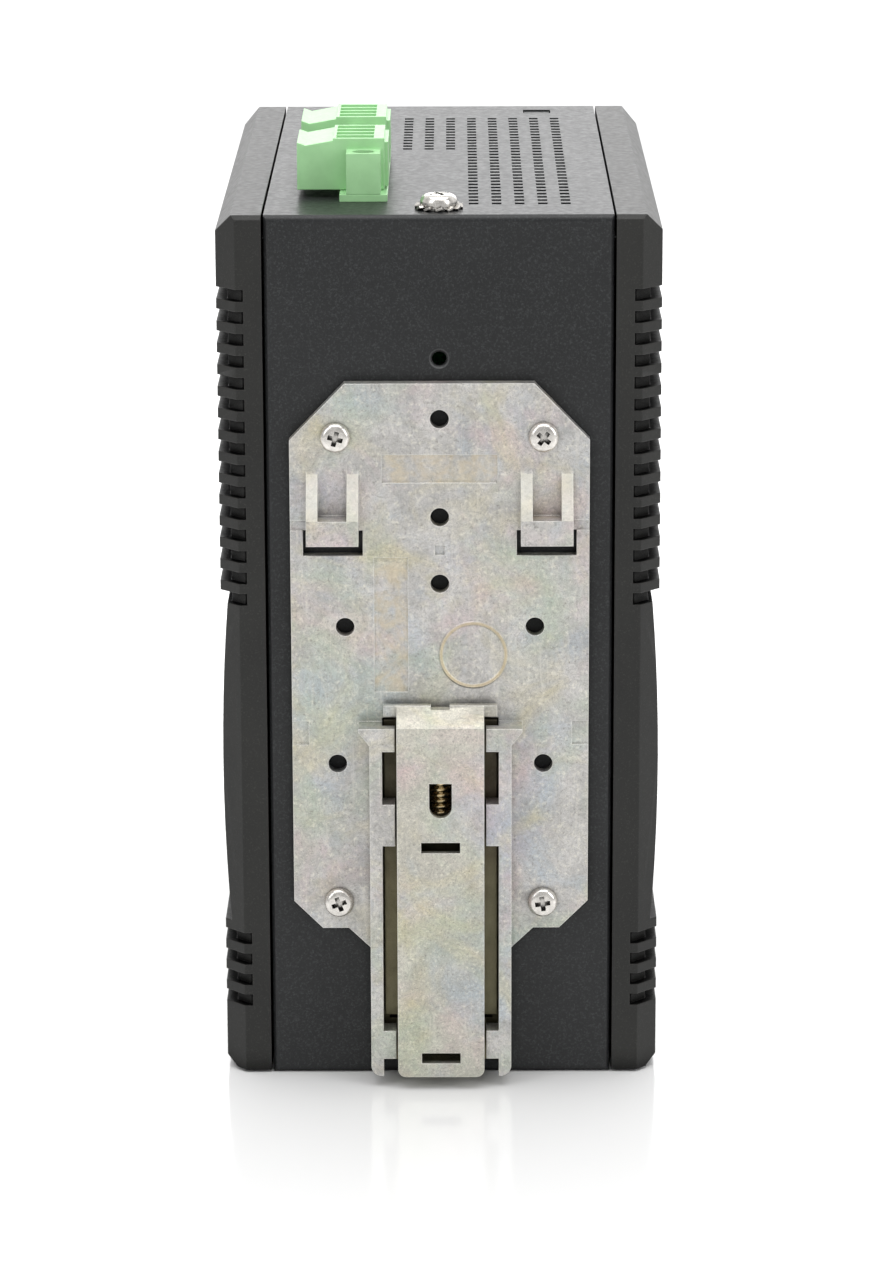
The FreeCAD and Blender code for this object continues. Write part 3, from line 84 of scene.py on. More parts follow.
class Shader:
    """A small builder for one node material, with textures in millimetres."""

    def __init__(self, name):
        self.material = bpy.data.materials.new(name)
        self.material.use_nodes = True
        self.tree = self.material.node_tree
        self.tree.nodes.clear()
        self.output = self.node("ShaderNodeOutputMaterial")
        self.shader = self.node("ShaderNodeBsdfPrincipled")
        self.link(self.shader.outputs["BSDF"], self.output.inputs["Surface"])
        coordinates = self.node("ShaderNodeTexCoord")
        mapping = self.node("ShaderNodeMapping")
        mapping.inputs["Scale"].default_value = (1 / MM, 1 / MM, 1 / MM)
        self.link(coordinates.outputs["Object"], mapping.inputs["Vector"])
        self.place = mapping.outputs["Vector"]

    def node(self, kind):
        return self.tree.nodes.new(kind)

    def link(self, source, target):
        self.tree.links.new(source, target)

    def set(self, **values):
        """Sets constants on the shader's own sockets."""
        for name, value in values.items():
            self.shader.inputs[name.replace("_", " ")].default_value = value

    def noise(self, per_mm, detail=4.0, rough=0.55, distortion=0.0, stretch=None, shift=0.0):
        texture = self.node("ShaderNodeTexNoise")
        texture.inputs["Scale"].default_value = per_mm
        texture.inputs["Detail"].default_value = detail
        texture.inputs["Roughness"].default_value = rough
        texture.inputs["Distortion"].default_value = distortion
        place = self.place
        if stretch or shift:
            mapping = self.node("ShaderNodeMapping")
            mapping.inputs["Scale"].default_value = stretch or (1, 1, 1)
            mapping.inputs["Location"].default_value = (shift, shift * 0.7, shift * 1.3)
            self.link(place, mapping.inputs["Vector"])
            place = mapping.outputs["Vector"]
        self.link(place, texture.inputs["Vector"])
        return texture.outputs["Fac"]

    def cell_edges(self, per_mm):
        """Distance from the borders of irregular cells."""
        texture = self.node("ShaderNodeTexVoronoi")
        texture.feature = "DISTANCE_TO_EDGE"
        texture.inputs["Scale"].default_value = per_mm
        self.link(self.place, texture.inputs["Vector"])
        return texture.outputs["Distance"]

    def ramp(self, value, stops):
        ramp = self.node("ShaderNodeValToRGB")
        elements = ramp.color_ramp.elements
        while len(elements) < len(stops):
            elements.new(0.5)
        for element, (position, colour) in zip(elements, stops):
            element.position = position
            element.color = colour if isinstance(colour, tuple) else (colour, colour, colour, 1)
        self.link(value, ramp.inputs["Fac"])
        return ramp.outputs["Color"]

    def ramp_mm(self, value, stops):
        """A ramp whose stops are in millimetres, up to 10."""
        return self.ramp(self.times(value, 0.1), [(stop * 0.1, share) for stop, share in stops])

    def mix(self, first, second, share):
        """Mixes two colours; each may be a socket or a colour."""
        mix = self.node("ShaderNodeMix")
        mix.data_type = "RGBA"
        sockets = [socket for socket in mix.inputs if socket.type == "RGBA"]
        for socket, value in zip(sockets, (first, second)):
            if isinstance(value, tuple):
                socket.default_value = value
            else:
                self.link(value, socket)
        self.link(share, mix.inputs["Factor"])
        return [socket for socket in mix.outputs if socket.type == "RGBA"][0]

    def layer(self, under, over, mask, strength):
        """Lays a colour over another where the mask is set."""
        return self.mix(under, over, self.times(mask, strength))

    def math(self, kind, first, second=0.0):
        node = self.node("ShaderNodeMath")
        node.operation = kind
        for socket, value in zip(node.inputs, (first, second)):
            if isinstance(value, (int, float)):
                socket.default_value = value
            else:
                self.link(value, socket)
        return node.outputs[0]

    def times(self, first, second):
        return self.math("MULTIPLY", first, second)

    def rounded(self, radius_mm):
        """The normal of edges rounded by shading."""
        bevel = self.node("ShaderNodeBevel")
        bevel.samples = BEVEL_SAMPLES
        bevel.inputs["Radius"].default_value = radius_mm * MM
        return bevel.outputs["Normal"]

    def edge_mask(self, radius_mm):
        """1 at edges, 0 on flat faces; it places painted highlights along edges."""
        normal = self.rounded(radius_mm)
        geometry = self.node("ShaderNodeNewGeometry")
        dot = self.node("ShaderNodeVectorMath")
        dot.operation = "DOT_PRODUCT"
        self.link(normal, dot.inputs[0])
        self.link(geometry.outputs["Normal"], dot.inputs[1])
        flat = self.math("SUBTRACT", 1.0, dot.outputs["Value"])
        return self.ramp(flat, [(0.02, 0.0), (0.35, 1.0)])

    def axes(self):
        """Coordinates in millimetres as three values."""
        split = self.node("ShaderNodeSeparateXYZ")
        self.link(self.place, split.inputs[0])
        return split.outputs

    def near(self, value, middle, half):
        """1 where the value lies within half of the middle, else 0."""
        node = self.node("ShaderNodeMath")
        node.operation = "COMPARE"
        self.link(value, node.inputs[0])
        node.inputs[1].default_value = middle
        node.inputs[2].default_value = half
        return node.outputs[0]

    def distance(self, across, up):
        """Distance in millimetres from an axis that runs along Y."""
        x, _, z = self.axes()
        beside = self.math("SUBTRACT", x, across)
        above = self.math("SUBTRACT", z, up)
        square = self.math("ADD", self.times(beside, beside), self.times(above, above))
        return self.math("SQRT", square)

    def open_share(self, reach_mm, dark, full):
        """1 on open faces, falling to 0 in hollows and narrow slots; it places painted shade in
        hollows.
        """
        shade = self.node("ShaderNodeAmbientOcclusion")
        shade.samples = HOLLOW_SAMPLES
        shade.inputs["Distance"].default_value = reach_mm * MM
        return self.ramp(shade.outputs["AO"], [(dark, 0.0), (full, 1.0)])

    def gloss(self, is_open, hollow, full):
        """Less gloss in hollows than on open faces."""
        level = self.ramp(is_open, [(0.0, hollow), (1.0, full)])
        self.link(level, self.shader.inputs["Specular IOR Level"])

    def bump(self, height, depth_mm, strength=1.0, normal=None):
        bump = self.node("ShaderNodeBump")
        bump.inputs["Strength"].default_value = strength
        bump.inputs["Distance"].default_value = depth_mm * MM
        self.link(height, bump.inputs["Height"])
        if normal is not None:
            self.link(normal, bump.inputs["Normal"])
        return bump.outputs["Normal"]

    def finish(self, colour, roughness=None, normal=None):
        self.link(colour, self.shader.inputs["Base Color"])
        if roughness is not None:
            self.link(roughness, self.shader.inputs["Roughness"])
        if normal is not None:
            self.link(normal, self.shader.inputs["Normal"])
        return self.material


# ---------------------------------------------------------------- coated materials

def coated_steel():
    """Black powder coat with a fine pale grain, painted shade in its hollows, and a dimple round
    the rear hole with a painted highlight on its rim.
    """
    shader = Shader("coated_steel")
    shader.set(Metallic=0.0)
    base = shader.ramp(shader.noise(0.035, 3.0),
                       [(0.3, srgb(27, 28, 29)), (0.7, srgb(34, 35, 36))])
    specks = shader.ramp(shader.noise(2.4, 3.0, 0.75), [(0.50, 0.0), (0.72, 1.0)])
    colour = shader.layer(base, srgb(66, 68, 69), specks, 0.6)
    # painted shade: the coat is darkened to near black in hollows and narrow slots, and loses gloss
    # there
    is_open = shader.open_share(3.0, 0.05, 0.7)
    colour = shader.mix(srgb(6, 6, 6), colour, is_open)
    shader.gloss(is_open, 0.05, 0.34)
    roughness = shader.ramp(shader.noise(0.9, 3.0), [(0.3, 0.33), (0.75, 0.46)])
    away = shader.distance(*REAR_HOLE)
    # painted highlight: a pale ring on the dimple's rim stands in for light caught on its slope
    painted_rim_highlight = shader.ramp_mm(away, [(1.50, 0.0), (1.63, 1.0), (1.78, 1.0), (1.90, 0.0)])
    colour = shader.layer(colour, srgb(92, 93, 94), painted_rim_highlight, 0.55)
    dimple = shader.ramp_mm(away, [(1.3, 0.0), (1.9, 1.0)])
    normal = shader.bump(shader.noise(1.9, 4.0, 0.6), 0.05, 0.30, shader.rounded(0.25))
    normal = shader.bump(dimple, 0.5, 1.0, normal)
    return shader.finish(colour, roughness, normal)


def coated_casting():
    """Charcoal coat of the die-cast covers, smoother and a little warmer than the box."""
    shader = Shader("coated_casting")
    shader.set(Metallic=0.0)
    base = shader.ramp(shader.noise(0.04, 3.0),
                       [(0.3, srgb(32, 32, 31)), (0.7, srgb(40, 40, 38))])
    specks = shader.ramp(shader.noise(3.1, 2.0, 0.7), [(0.56, 0.0), (0.74, 1.0)])
    colour = shader.layer(base, srgb(70, 69, 66), specks, 0.4)
    # painted highlight: the edges are lightened
    colour = shader.layer(colour, srgb(96, 95, 91), shader.edge_mask(0.30), 0.45)
    # painted shade: the coat is darkened to near black in hollows, and loses gloss there
    is_open = shader.open_share(5.0, 0.40, 0.88)
    colour = shader.mix(srgb(5, 5, 5), colour, is_open)
    shader.gloss(is_open, 0.02, 0.30)
    roughness = shader.ramp(shader.noise(0.8, 3.0), [(0.3, 0.36), (0.75, 0.48)])
    normal = shader.bump(shader.noise(1.7, 4.0, 0.6), 0.05, 0.22, shader.rounded(0.35))
    return shader.finish(colour, roughness, normal)


# ---------------------------------------------------------------- zinc castings

def zinc_colour(shader, tint, grain_per_mm):
    """Clouds, a faint iridescence, veins, grain, pits, scratches, and painted highlights that
    lighten the edges almost to white.
    """
    cloud = shader.noise(0.11, 7.0, 0.62, 1.2)
    colour = shader.ramp(cloud, [(0.22, toned(tint, 0.84)), (0.46, toned(tint, 0.97)),
                                 (0.62, toned(tint, 1.05)), (0.80, toned(tint, 0.90))])
    hues = ((srgb(222, 192, 196), 0.05, 31.0), (srgb(178, 194, 208), 0.06, 77.0),
            (srgb(214, 204, 160), 0.07, 143.0), (srgb(184, 200, 176), 0.055, 211.0))
    for hue, per_mm, shift in hues:
        patch = shader.noise(per_mm, 5.0, 0.6, 0.8, None, shift)
        patch = shader.ramp(patch, [(0.50, 0.0), (0.70, 1.0)])
        colour = shader.layer(colour, hue, patch, 0.55)
    veins = shader.ramp(shader.noise(0.28, 6.0, 0.7, 2.2, None, 9.0),
                        [(0.46, 0.0), (0.50, 1.0), (0.54, 0.0)])
    colour = shader.layer(colour, srgb(140, 138, 134), veins, 0.35)
    fibres = shader.ramp(shader.noise(0.9, 4.0, 0.65, 3.2, None, 17.0),
                         [(0.47, 0.0), (0.50, 1.0), (0.53, 0.0)])
    colour = shader.layer(colour, srgb(124, 121, 118), fibres, 0.50)
    grain = shader.ramp(shader.noise(grain_per_mm, 3.0, 0.75), [(0.53, 0.0), (0.70, 1.0)])
    colour = shader.layer(colour, srgb(250, 246, 230), grain, 0.38)
    pits = shader.ramp(shader.noise(grain_per_mm * 1.3, 3.0, 0.75, 0.0, None, 33.0),
                       [(0.30, 1.0), (0.46, 0.0)])
    colour = shader.layer(colour, srgb(122, 119, 112), pits, 0.5)
    scratches = shader.ramp(shader.noise(1.2, 2.0, 0.6, 0.4, (1.0, 0.3, 0.06), 5.0),
                            [(0.62, 0.0), (0.68, 1.0)])
    colour = shader.layer(colour, srgb(226, 222, 212), scratches, 0.20)
    # painted highlight: the edges are lightened almost to white
    return shader.layer(colour, srgb(250, 249, 244), shader.edge_mask(0.35), 0.9)


def zinc_finish(shader, colour, deep, up, ring=None):
    """An olive tint with painted shade, darker higher up, in the channel; painted shade in the
    hollows; and the texture of the casting.
    """
    # olive tint with painted shade: the narrow channel is darkened, more so from 38 mm up to 52 mm
    # up
    olive = shader.ramp(shader.times(up, 0.01),
                        [(0.38, srgb(120, 114, 86)), (0.52, srgb(60, 52, 30))])
    colour = shader.layer(colour, olive, deep, 0.93)
    # painted shade: the zinc is darkened towards a dull brown in hollows
    colour = shader.mix(srgb(60, 55, 42), colour, shader.open_share(2.5, 0.05, 0.6))
    roughness = shader.ramp(shader.noise(0.35, 6.0, 0.7), [(0.3, 0.34), (0.7, 0.56)])
    normal = shader.bump(shader.noise(1.1, 6.0, 0.75), 0.12, 0.5, shader.rounded(0.3))
    if ring is not None:
        normal = shader.bump(ring, 0.25, 0.8, normal)
    return shader.finish(colour, roughness, normal)


def cast_marks(shader, colour, x, z):
    """Gilded tint of the two blank fields and of the ring beside them."""
    level_field = shader.times(shader.near(x, 0.0, 10.4), shader.near(z, 115.92, 2.58))
    upright_field = shader.times(shader.near(x, -8.85, 3.05), shader.near(z, 86.95, 12.55))
    fields = shader.math("ADD", level_field, upright_field)
    blotch = shader.ramp(shader.noise(0.35, 4.0, 0.6, 0.5, None, 61.0),
                         [(0.40, 0.0), (0.62, 1.0)])
    colour = shader.mix(colour, srgb(212, 194, 158),
                        shader.times(fields, shader.times(blotch, 0.45)))
    ring = shader.ramp_mm(shader.distance(*CAST_RING),
                          [(5.45, 0.0), (5.75, 1.0), (6.0, 1.0), (6.3, 0.0)])
    return shader.layer(colour, srgb(216, 196, 150), ring, 0.55), ring


def plate_zinc():
    """The clip plate: a painted highlight on the raised faces over its hooks, gilded marks, and an
    olive channel floor with painted shade.
    """
    shader = Shader("plate_zinc")
    shader.set(Metallic=0.72)
    colour = zinc_colour(shader, (202, 200, 197), 1.1)
    x, y, z = shader.axes()
    # painted highlight: the raised faces over the hooks are lightened as if lit from above
    painted_rib_highlight = shader.times(shader.math("LESS_THAN", y, PLATE_FACE - 0.3),
                        shader.near(z, 112.4, 5.1))
    colour = shader.layer(colour, srgb(232, 229, 214), painted_rib_highlight, 0.45)
    colour, ring = cast_marks(shader, colour, x, z)
    # where the channel floor gets its olive tint and painted shade
    floor = shader.times(shader.near(x, 0.0, 10.58), shader.near(z, 30.0, 39.3))
    floor = shader.times(floor, shader.near(y, -66.5, 1.1))
    return zinc_finish(shader, colour, floor, z, ring)


def latch_zinc():
    """The latch: warmer and finer in grain; the flanges behind the keeper tabs get an olive tint
    with painted shade.
    """
    shader = Shader("latch_zinc")
    shader.set(Metallic=0.72)
    colour = zinc_colour(shader, (204, 201, 190), 1.7)
    _, y, z = shader.axes()
    # the flanges in the narrow trench behind the keeper tabs get the olive tint and painted shade
    flanges = shader.times(shader.near(y, -67.5, 2.0), shader.near(z, 40.0, 29.25))
    return zinc_finish(shader, colour, flanges, z)


# ---------------------------------------------------------------- other materials

def bright_metal(name, colour, roughness=0.22):
    """Nickel or tin: bright with a fine turned grain."""
    shader = Shader(name)
    shader.set(Metallic=1.0)
    tone = shader.ramp(shader.noise(0.9, 3.0), [(0.3, toned(colour, 0.86)), (0.7, srgb(*colour))])
    # painted shade: the metal is darkened in recesses such as a screw's drive
    tone = shader.mix(toned(colour, 0.16), tone, shader.open_share(1.2, 0.25, 0.85))
    rough = shader.ramp(shader.noise(2.0, 3.0), [(0.3, roughness * 0.7), (0.7, roughness * 1.4)])
    normal = shader.bump(shader.noise(3.0, 3.0), 0.02, 0.3, shader.rounded(0.12))
    return shader.finish(tone, rough, normal)


def moulded_plastic(name, dark, light, roughness=0.42, soft=0.0):
    """Injection-moulded plastic with a fine eroded grain."""
    shader = Shader(name)
    shader.set(Metallic=0.0, Specular_IOR_Level=0.5)
    if soft:
        shader.set(Subsurface_Weight=soft, Subsurface_Radius=(0.0009, 0.0018, 0.0008))
    tone = shader.ramp(shader.noise(0.25, 4.0), [(0.3, srgb(*dark)), (0.7, srgb(*light))])
    # painted highlight: the edges are lightened
    tone = shader.layer(tone, toned(light, 1.18), shader.edge_mask(0.25), 0.45)
    rough = shader.ramp(shader.noise(1.4, 3.0), [(0.3, roughness * 0.85), (0.7, roughness * 1.15)])
    normal = shader.bump(shader.noise(2.4, 3.0), 0.02, 0.25, shader.rounded(0.2))
    return shader.finish(tone, rough, normal)


def circuit_board():
    """Green solder mask with faint traces."""
    shader = Shader("circuit_board")
    shader.set(Metallic=0.0, Specular_IOR_Level=0.5)
    traces = shader.ramp(shader.cell_edges(0.5), [(0.05, 1.0), (0.12, 0.0)])
    colour = shader.mix(srgb(18, 72, 36), srgb(40, 112, 58), traces)
    roughness = shader.ramp(shader.noise(0.8), [(0.3, 0.25), (0.7, 0.4)])
    return shader.finish(colour, roughness, shader.bump(traces, 0.03, 0.4))


def lamp_plastic():
    """Milky light pipe."""
    shader = Shader("lamp_plastic")
    shader.set(Metallic=0.0, Transmission_Weight=0.25, IOR=1.49)
    colour = shader.ramp(shader.noise(0.8),
                         [(0.3, srgb(206, 214, 204)), (0.7, srgb(228, 232, 224))])
    roughness = shader.ramp(shader.noise(2.0), [(0.3, 0.2), (0.7, 0.3)])
    return shader.finish(colour, roughness, shader.rounded(0.15))


def spring_steel():
    """Oiled, straw-coloured spring wire."""
    shader = Shader("spring_steel")
    shader.set(Metallic=1.0)
    tone = shader.ramp(shader.noise(1.2), [(0.3, srgb(196, 172, 128)), (0.7, srgb(232, 214, 176))])
    rough = shader.ramp(shader.noise(3.0), [(0.3, 0.18), (0.7, 0.3)])
    return shader.finish(tone, rough, shader.bump(shader.noise(4.0), 0.01, 0.2))


MATERIALS = {
    "black_coat": coated_steel(),
    "charcoal_coat": coated_casting(),
    "dark_screw": bright_metal("dark_screw", (96, 96, 98), 0.35),
    "zinc": plate_zinc(),
    "spring_steel": spring_steel(),
    "nickel": bright_metal("nickel", (232, 228, 222)),
    "green_plastic": moulded_plastic("green_plastic", (158, 208, 152), (170, 220, 164), 0.40, 0.05),
    "tinned_brass": bright_metal("tinned_brass", (222, 196, 120), 0.25),
    "board": circuit_board(),
    "black_plastic": moulded_plastic("black_plastic", (22, 22, 23), (34, 34, 35), 0.5),
    "shield": bright_metal("shield", (206, 206, 204), 0.28),
    "lamp": lamp_plastic(),
    "bare_aluminium": bright_metal("bare_aluminium", (200, 200, 202), 0.38),
    "capacitor_can": bright_metal("capacitor_can", (150, 152, 166), 0.35),
}
LATCH_ZINC = latch_zinc()

# widths of the small rounds on cast and moulded pieces, in millimetres
SOFT_EDGES = {
    "rail_latch": 0.28,
    "left_side_cover": 0.30,
    "right_side_cover": 0.30,
    "terminal_plug_1": 0.18,
    "terminal_plug_2": 0.18,
    "terminal_header_1": 0.15,
    "terminal_header_2": 0.15,
}
WELD_REACH = 0.002          # millimetres
SHARP_EDGE = 38             # degrees


def paint_nodes():
    """Every CAD node gets the material of its slot; the latch has its own zinc."""
    slots = {entry["node"]: entry["material_slot"] for entry in frame["record"]["subparts"]}
    for name, node in nodes.items():
        material = LATCH_ZINC if name == "rail_latch" else MATERIALS[slots[name]]
        node.data.materials.clear()
        node.data.materials.append(material)
        for polygon in node.data.polygons:
            polygon.material_index = 0


def soften_edges():
    for name, width in SOFT_EDGES.items():
        weld = nodes[name].modifiers.new("weld", "WELD")
        weld.merge_threshold = WELD_REACH * MM
        bevel = nodes[name].modifiers.new("soft_edges", "BEVEL")
        bevel.width = width * MM
        bevel.segments = 2
        bevel.limit_method = "ANGLE"
        bevel.angle_limit = math.radians(SHARP_EDGE)
        bevel.use_clamp_overlap = True
        bevel.harden_normals = True


# ---------------------------------------------------------------- mesh helpers

def add_mesh(name, build, slot):
    """An object from a function that fills a bmesh in millimetres; it rides on the chassis."""
    shape = bmesh.new()
    build(shape)
    bmesh.ops.recalc_face_normals(shape, faces=shape.faces)
    bmesh.ops.scale(shape, vec=(MM, MM, MM), verts=shape.verts)
    mesh = bpy.data.meshes.new(name)
    shape.to_mesh(mesh)
    shape.free()
    mesh.materials.append(MATERIALS[slot])
    piece = bpy.data.objects.new(name, mesh)
    bpy.context.scene.collection.objects.link(piece)
    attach(piece, "chassis")
    return piece


def smooth(piece, degrees):
    """Smooth shading that keeps edges sharper than the angle."""
    for polygon in piece.data.polygons:
        polygon.use_smooth = True
    modifier = piece.modifiers.new("edges", "EDGE_SPLIT")
    modifier.split_angle = math.radians(degrees)


def full_turn(steps):
    """Angles of a full turn in equal steps."""
    return [2 * math.pi * step / steps for step in range(steps)]


def revolve(shape, profile, steps, matrix):
    """Turns a profile of (radius, height) points about the local Z axis."""
    rings = []
    for radius, up in profile:
        if radius < 1e-6:
            rings.append([shape.verts.new(matrix @ Vector((0, 0, up)))])
            continue
        rings.append([
            shape.verts.new(matrix @ Vector((radius * math.cos(turn), radius * math.sin(turn), up)))
            for turn in full_turn(steps)])
    for lower, upper in zip(rings, rings[1:]):
        for step in range(steps):
            corners = [lower[step % len(lower)], lower[(step + 1) % len(lower)],
                       upper[(step + 1) % len(upper)], upper[step % len(upper)]]
            unique = list(dict.fromkeys(corners))
            if len(unique) > 2:
                shape.faces.new(unique)


def facing(axis):
    """A rotation that turns +Z to the given axis."""
    return Vector((0, 0, 1)).rotation_difference(Vector(axis)).to_matrix().to_4x4()


def block(shape, low, high, matrix=Matrix.Identity(4)):
    corners = [shape.verts.new(matrix @ Vector((across, along, up)))
               for across in (low[0], high[0])
               for along in (low[1], high[1])
               for up in (low[2], high[2])]
    for face in ((0, 1, 3, 2), (4, 6, 7, 5), (0, 4, 5, 1),
                 (2, 3, 7, 6), (0, 2, 6, 4), (1, 5, 7, 3)):
        shape.faces.new([corners[index] for index in face])


def islands(node):
    """Boxes of a node's separate solids, in millimetres."""
    shape = bmesh.new()
    shape.from_mesh(nodes[node].data)
    bmesh.ops.remove_doubles(shape, verts=shape.verts, dist=1e-6)
    left = set(shape.verts)
    boxes = []
    while left:
        stack = [left.pop()]
        members = []
        while stack:
            vertex = stack.pop()
            members.append(vertex.co.copy())
            for edge in vertex.link_edges:
                other = edge.other_vert(vertex)
                if other in left:
                    left.remove(other)
                    stack.append(other)
        low = Vector([min(point[axis] for point in members) for axis in range(3)])
        high = Vector([max(point[axis] for point in members) for axis in range(3)])
        boxes.append((low / MM, high / MM))
    shape.free()
    return sorted(boxes, key=lambda pair: tuple(round(value, 2) for value in pair[0]))


# ---------------------------------------------------------------- screws

HEAD_STEPS = 40             # sides of a round screw head
HEAD_WALL = 0.32            # height of its upright wall, as a share of the head
HEAD_SHOULDER = 0.58        # height of its rounded shoulder
HEAD_DISH = 0.42            # how far the shoulder reaches in, as a share of the radius
RECESS_CELLS = 30           # grid cells across the top face
SHANK_SHARE = 0.27          # shank radius as a share of the head's width
SHANK_STEPS = 20
THREAD_PITCH = 0.5
THREAD_ROOT = 0.86          # root radius as a share of the shank's
TIP = 0.4                   # length of the tapered end


def head_profile(radius, tall):
    """Pan head: a short wall, a rounded shoulder and a slightly domed top."""
    points = [(radius * 0.55, 0.0), (radius, 0.0), (radius, tall * HEAD_WALL)]
    for degrees in range(15, 91, 15):
        turn = math.radians(degrees)
        points.append((radius * (1 - HEAD_DISH + HEAD_DISH * math.cos(turn)),
                       tall * (HEAD_WALL + HEAD_SHOULDER * math.sin(turn))))
    return points


def screw_head(shape, radius, tall, matrix, cross, slot, turn):
    """A pan head whose recess is pressed into its top; cross and slot are arm widths, or 0."""
    profile = head_profile(radius, tall)
    revolve(shape, profile, HEAD_STEPS, matrix)
    rim, top = profile[-1]
    spin = matrix @ Matrix.Rotation(turn, 4, "Z")
    arm = radius * 0.50
    reach = rim if slot else arm
    wide = (cross or slot) / 2

    def inside(across, along):
        bar = abs(along) < wide and abs(across) < reach
        post = cross and abs(across) < wide and abs(along) < arm
        return bar or post

    top_face(shape, spin, rim, top, tall * 0.62, inside)


def top_face(shape, spin, rim, top, deep, inside):
    """The round top, a grid whose cells inside the cross or slot are sunk."""
    cell = 2 * rim / RECESS_CELLS
    edge = rim * 0.999
    grid = {}

    def vertex(column, row, level):
        key = (column, row, level)
        if key not in grid:
            across = -rim + column * cell
            along = -rim + row * cell
            length = math.hypot(across, along)
            if length > edge:
                across *= edge / length
                along *= edge / length
            dome = 0.08 * deep * (1 - (min(length, rim) / rim) ** 2)
            grid[key] = shape.verts.new(spin @ Vector((across, along, top + dome - level)))
        return grid[key]

    levels = {}
    for column in range(RECESS_CELLS):
        for row in range(RECESS_CELLS):
            across = -rim + (column + 0.5) * cell
            along = -rim + (row + 0.5) * cell
            if math.hypot(across, along) <= rim + cell * 0.2:
                levels[column, row] = deep if inside(across, along) else 0.0
    # a cell's next neighbours, each with the two corners on the border between them
    neighbours = (((1, 0), (1, 0), (1, 1)), ((0, 1), (1, 1), (0, 1)))
    for (column, row), level in levels.items():
        make_face(shape, [vertex(column + right, row + up, level)
                          for right, up in ((0, 0), (1, 0), (1, 1), (0, 1))])
        for (right, up), first, last in neighbours:
            other = levels.get((column + right, row + up))
            if other is not None and other != level:
                make_face(shape, [vertex(column + first[0], row + first[1], level),
                                  vertex(column + last[0], row + last[1], level),
                                  vertex(column + last[0], row + last[1], other),
                                  vertex(column + first[0], row + first[1], other)])


def make_face(shape, corners):
    """A face without its doubled corners, unless it is there already."""
    unique = []
    for corner in corners:
        if all((corner.co - other.co).length > 1e-5 for other in unique):
            unique.append(corner)
    if len(unique) > 2:
        try:
            shape.faces.new(unique)
        except ValueError:
            pass


def shank_profile(length, radius):
    """A tapered end and a turned thread, up to the head."""
    points = [(0.0, -length), (radius * 0.8, -length), (radius, -length + TIP)]
    for step in range(int(length / THREAD_PITCH)):
        up = -length + TIP + step * THREAD_PITCH
        points += [(radius, up), (radius * THREAD_ROOT, up + THREAD_PITCH / 2)]
    return points + [(radius, -0.05), (radius, 0.0)]


def dress_screws(node, name, axis, head, tall, turns, cross=0.0, slot=0.0):
    """Detailed heads, towards the axis, and threaded shanks in place of a node's screws."""
    axis = Vector(axis)
    main = [index for index in range(3) if abs(axis[index]) > 0.5][0]

    def build(shape):
        for number, (low, high) in enumerate(islands(node)):
            seat = (low + high) / 2
            outer = high[main] if axis[main] > 0 else low[main]
            seat[main] = outer - tall * axis[main]
            matrix = Matrix.Translation(seat) @ facing(axis)
            turn = math.radians(turns[number % len(turns)])
            screw_head(shape, head / 2, tall, matrix, cross, slot, turn)
            shank = shank_profile((high[main] - low[main]) - tall, head * SHANK_SHARE)
            revolve(shape, shank, SHANK_STEPS, matrix)

    piece = add_mesh(name, build, "nickel")
    smooth(piece, 40)
    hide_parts(node)


# ---------------------------------------------------------------- spring, contacts and ring

WIRE = 0.3                  # radius of the spring's wire
WIRE_SIDES = 10
COILS = 9.5
STEPS_PER_COIL = 28


def dress_spring():
    """Round-wire compression spring in place of the plain one."""
    low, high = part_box("latch_spring")
    centre = (low + high) / 2 / MM
    radius = (high.x - low.x) / 2 / MM - WIRE
    start, finish = low.z / MM + WIRE, high.z / MM - WIRE
    points = []
    total = int(COILS * STEPS_PER_COIL)
    for step in range(total + 1):
        share = step / total
        angle = 2 * math.pi * COILS * share
        points.append(Vector((centre.x + radius * math.cos(angle),
                              centre.y + radius * math.sin(angle),
                              start + (finish - start) * share)))

    def build(shape):
        rings = []
        for index, point in enumerate(points):
            ahead = points[min(index + 1, total)] - points[max(index - 1, 0)]
            ahead.normalize()
            outward = Vector((point.x - centre.x, point.y - centre.y, 0)).normalized()
            upward = ahead.cross(outward)
            rings.append([
                shape.verts.new(point + WIRE * (outward * math.cos(turn) + upward * math.sin(turn)))
                for turn in full_turn(WIRE_SIDES)])
        for lower, upper in zip(rings, rings[1:]):
            for side in range(WIRE_SIDES):
                after = (side + 1) % WIRE_SIDES
                shape.faces.new([lower[side], lower[after], upper[after], upper[side]])
        shape.faces.new(rings[0])
        shape.faces.new(rings[-1])

    piece = add_mesh("round_wire_spring", build, "spring_steel")
    smooth(piece, 35)
    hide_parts("latch_spring")
    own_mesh(piece)


PORT_WIRES = 8
WIRE_HALF = 0.17            # half the width of a port wire
WIRE_MARGIN = 0.2           # from the comb's end to the middle of its first wire
STRIP_THICK = 0.35
LEAF_THICK = 0.3
LEAF_LONG = 6.5
LEAF_SLOPE = 12             # degrees


def dress_contacts():
    """Eight sprung wires in each port, in place of the plain combs."""
    def build(shape):
        for low, high in islands("jack_contacts"):
            pitch = (high.z - low.z - 2 * WIRE_MARGIN) / (PORT_WIRES - 1)
            for number in range(PORT_WIRES):
                up = low.z + WIRE_MARGIN + pitch * number
                inner = low.x + STRIP_THICK
                block(shape, (low.x, low.y, up - WIRE_HALF), (inner, high.y, up + WIRE_HALF))
                slope = (Matrix.Translation((inner, high.y - 0.2, up))
                         @ Matrix.Rotation(math.radians(LEAF_SLOPE), 4, "Z"))
                block(shape, (0, -LEAF_LONG, -WIRE_HALF), (LEAF_THICK, 0, WIRE_HALF), slope)

    piece = add_mesh("port_contacts", build, "tinned_brass")
    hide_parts("jack_contacts")


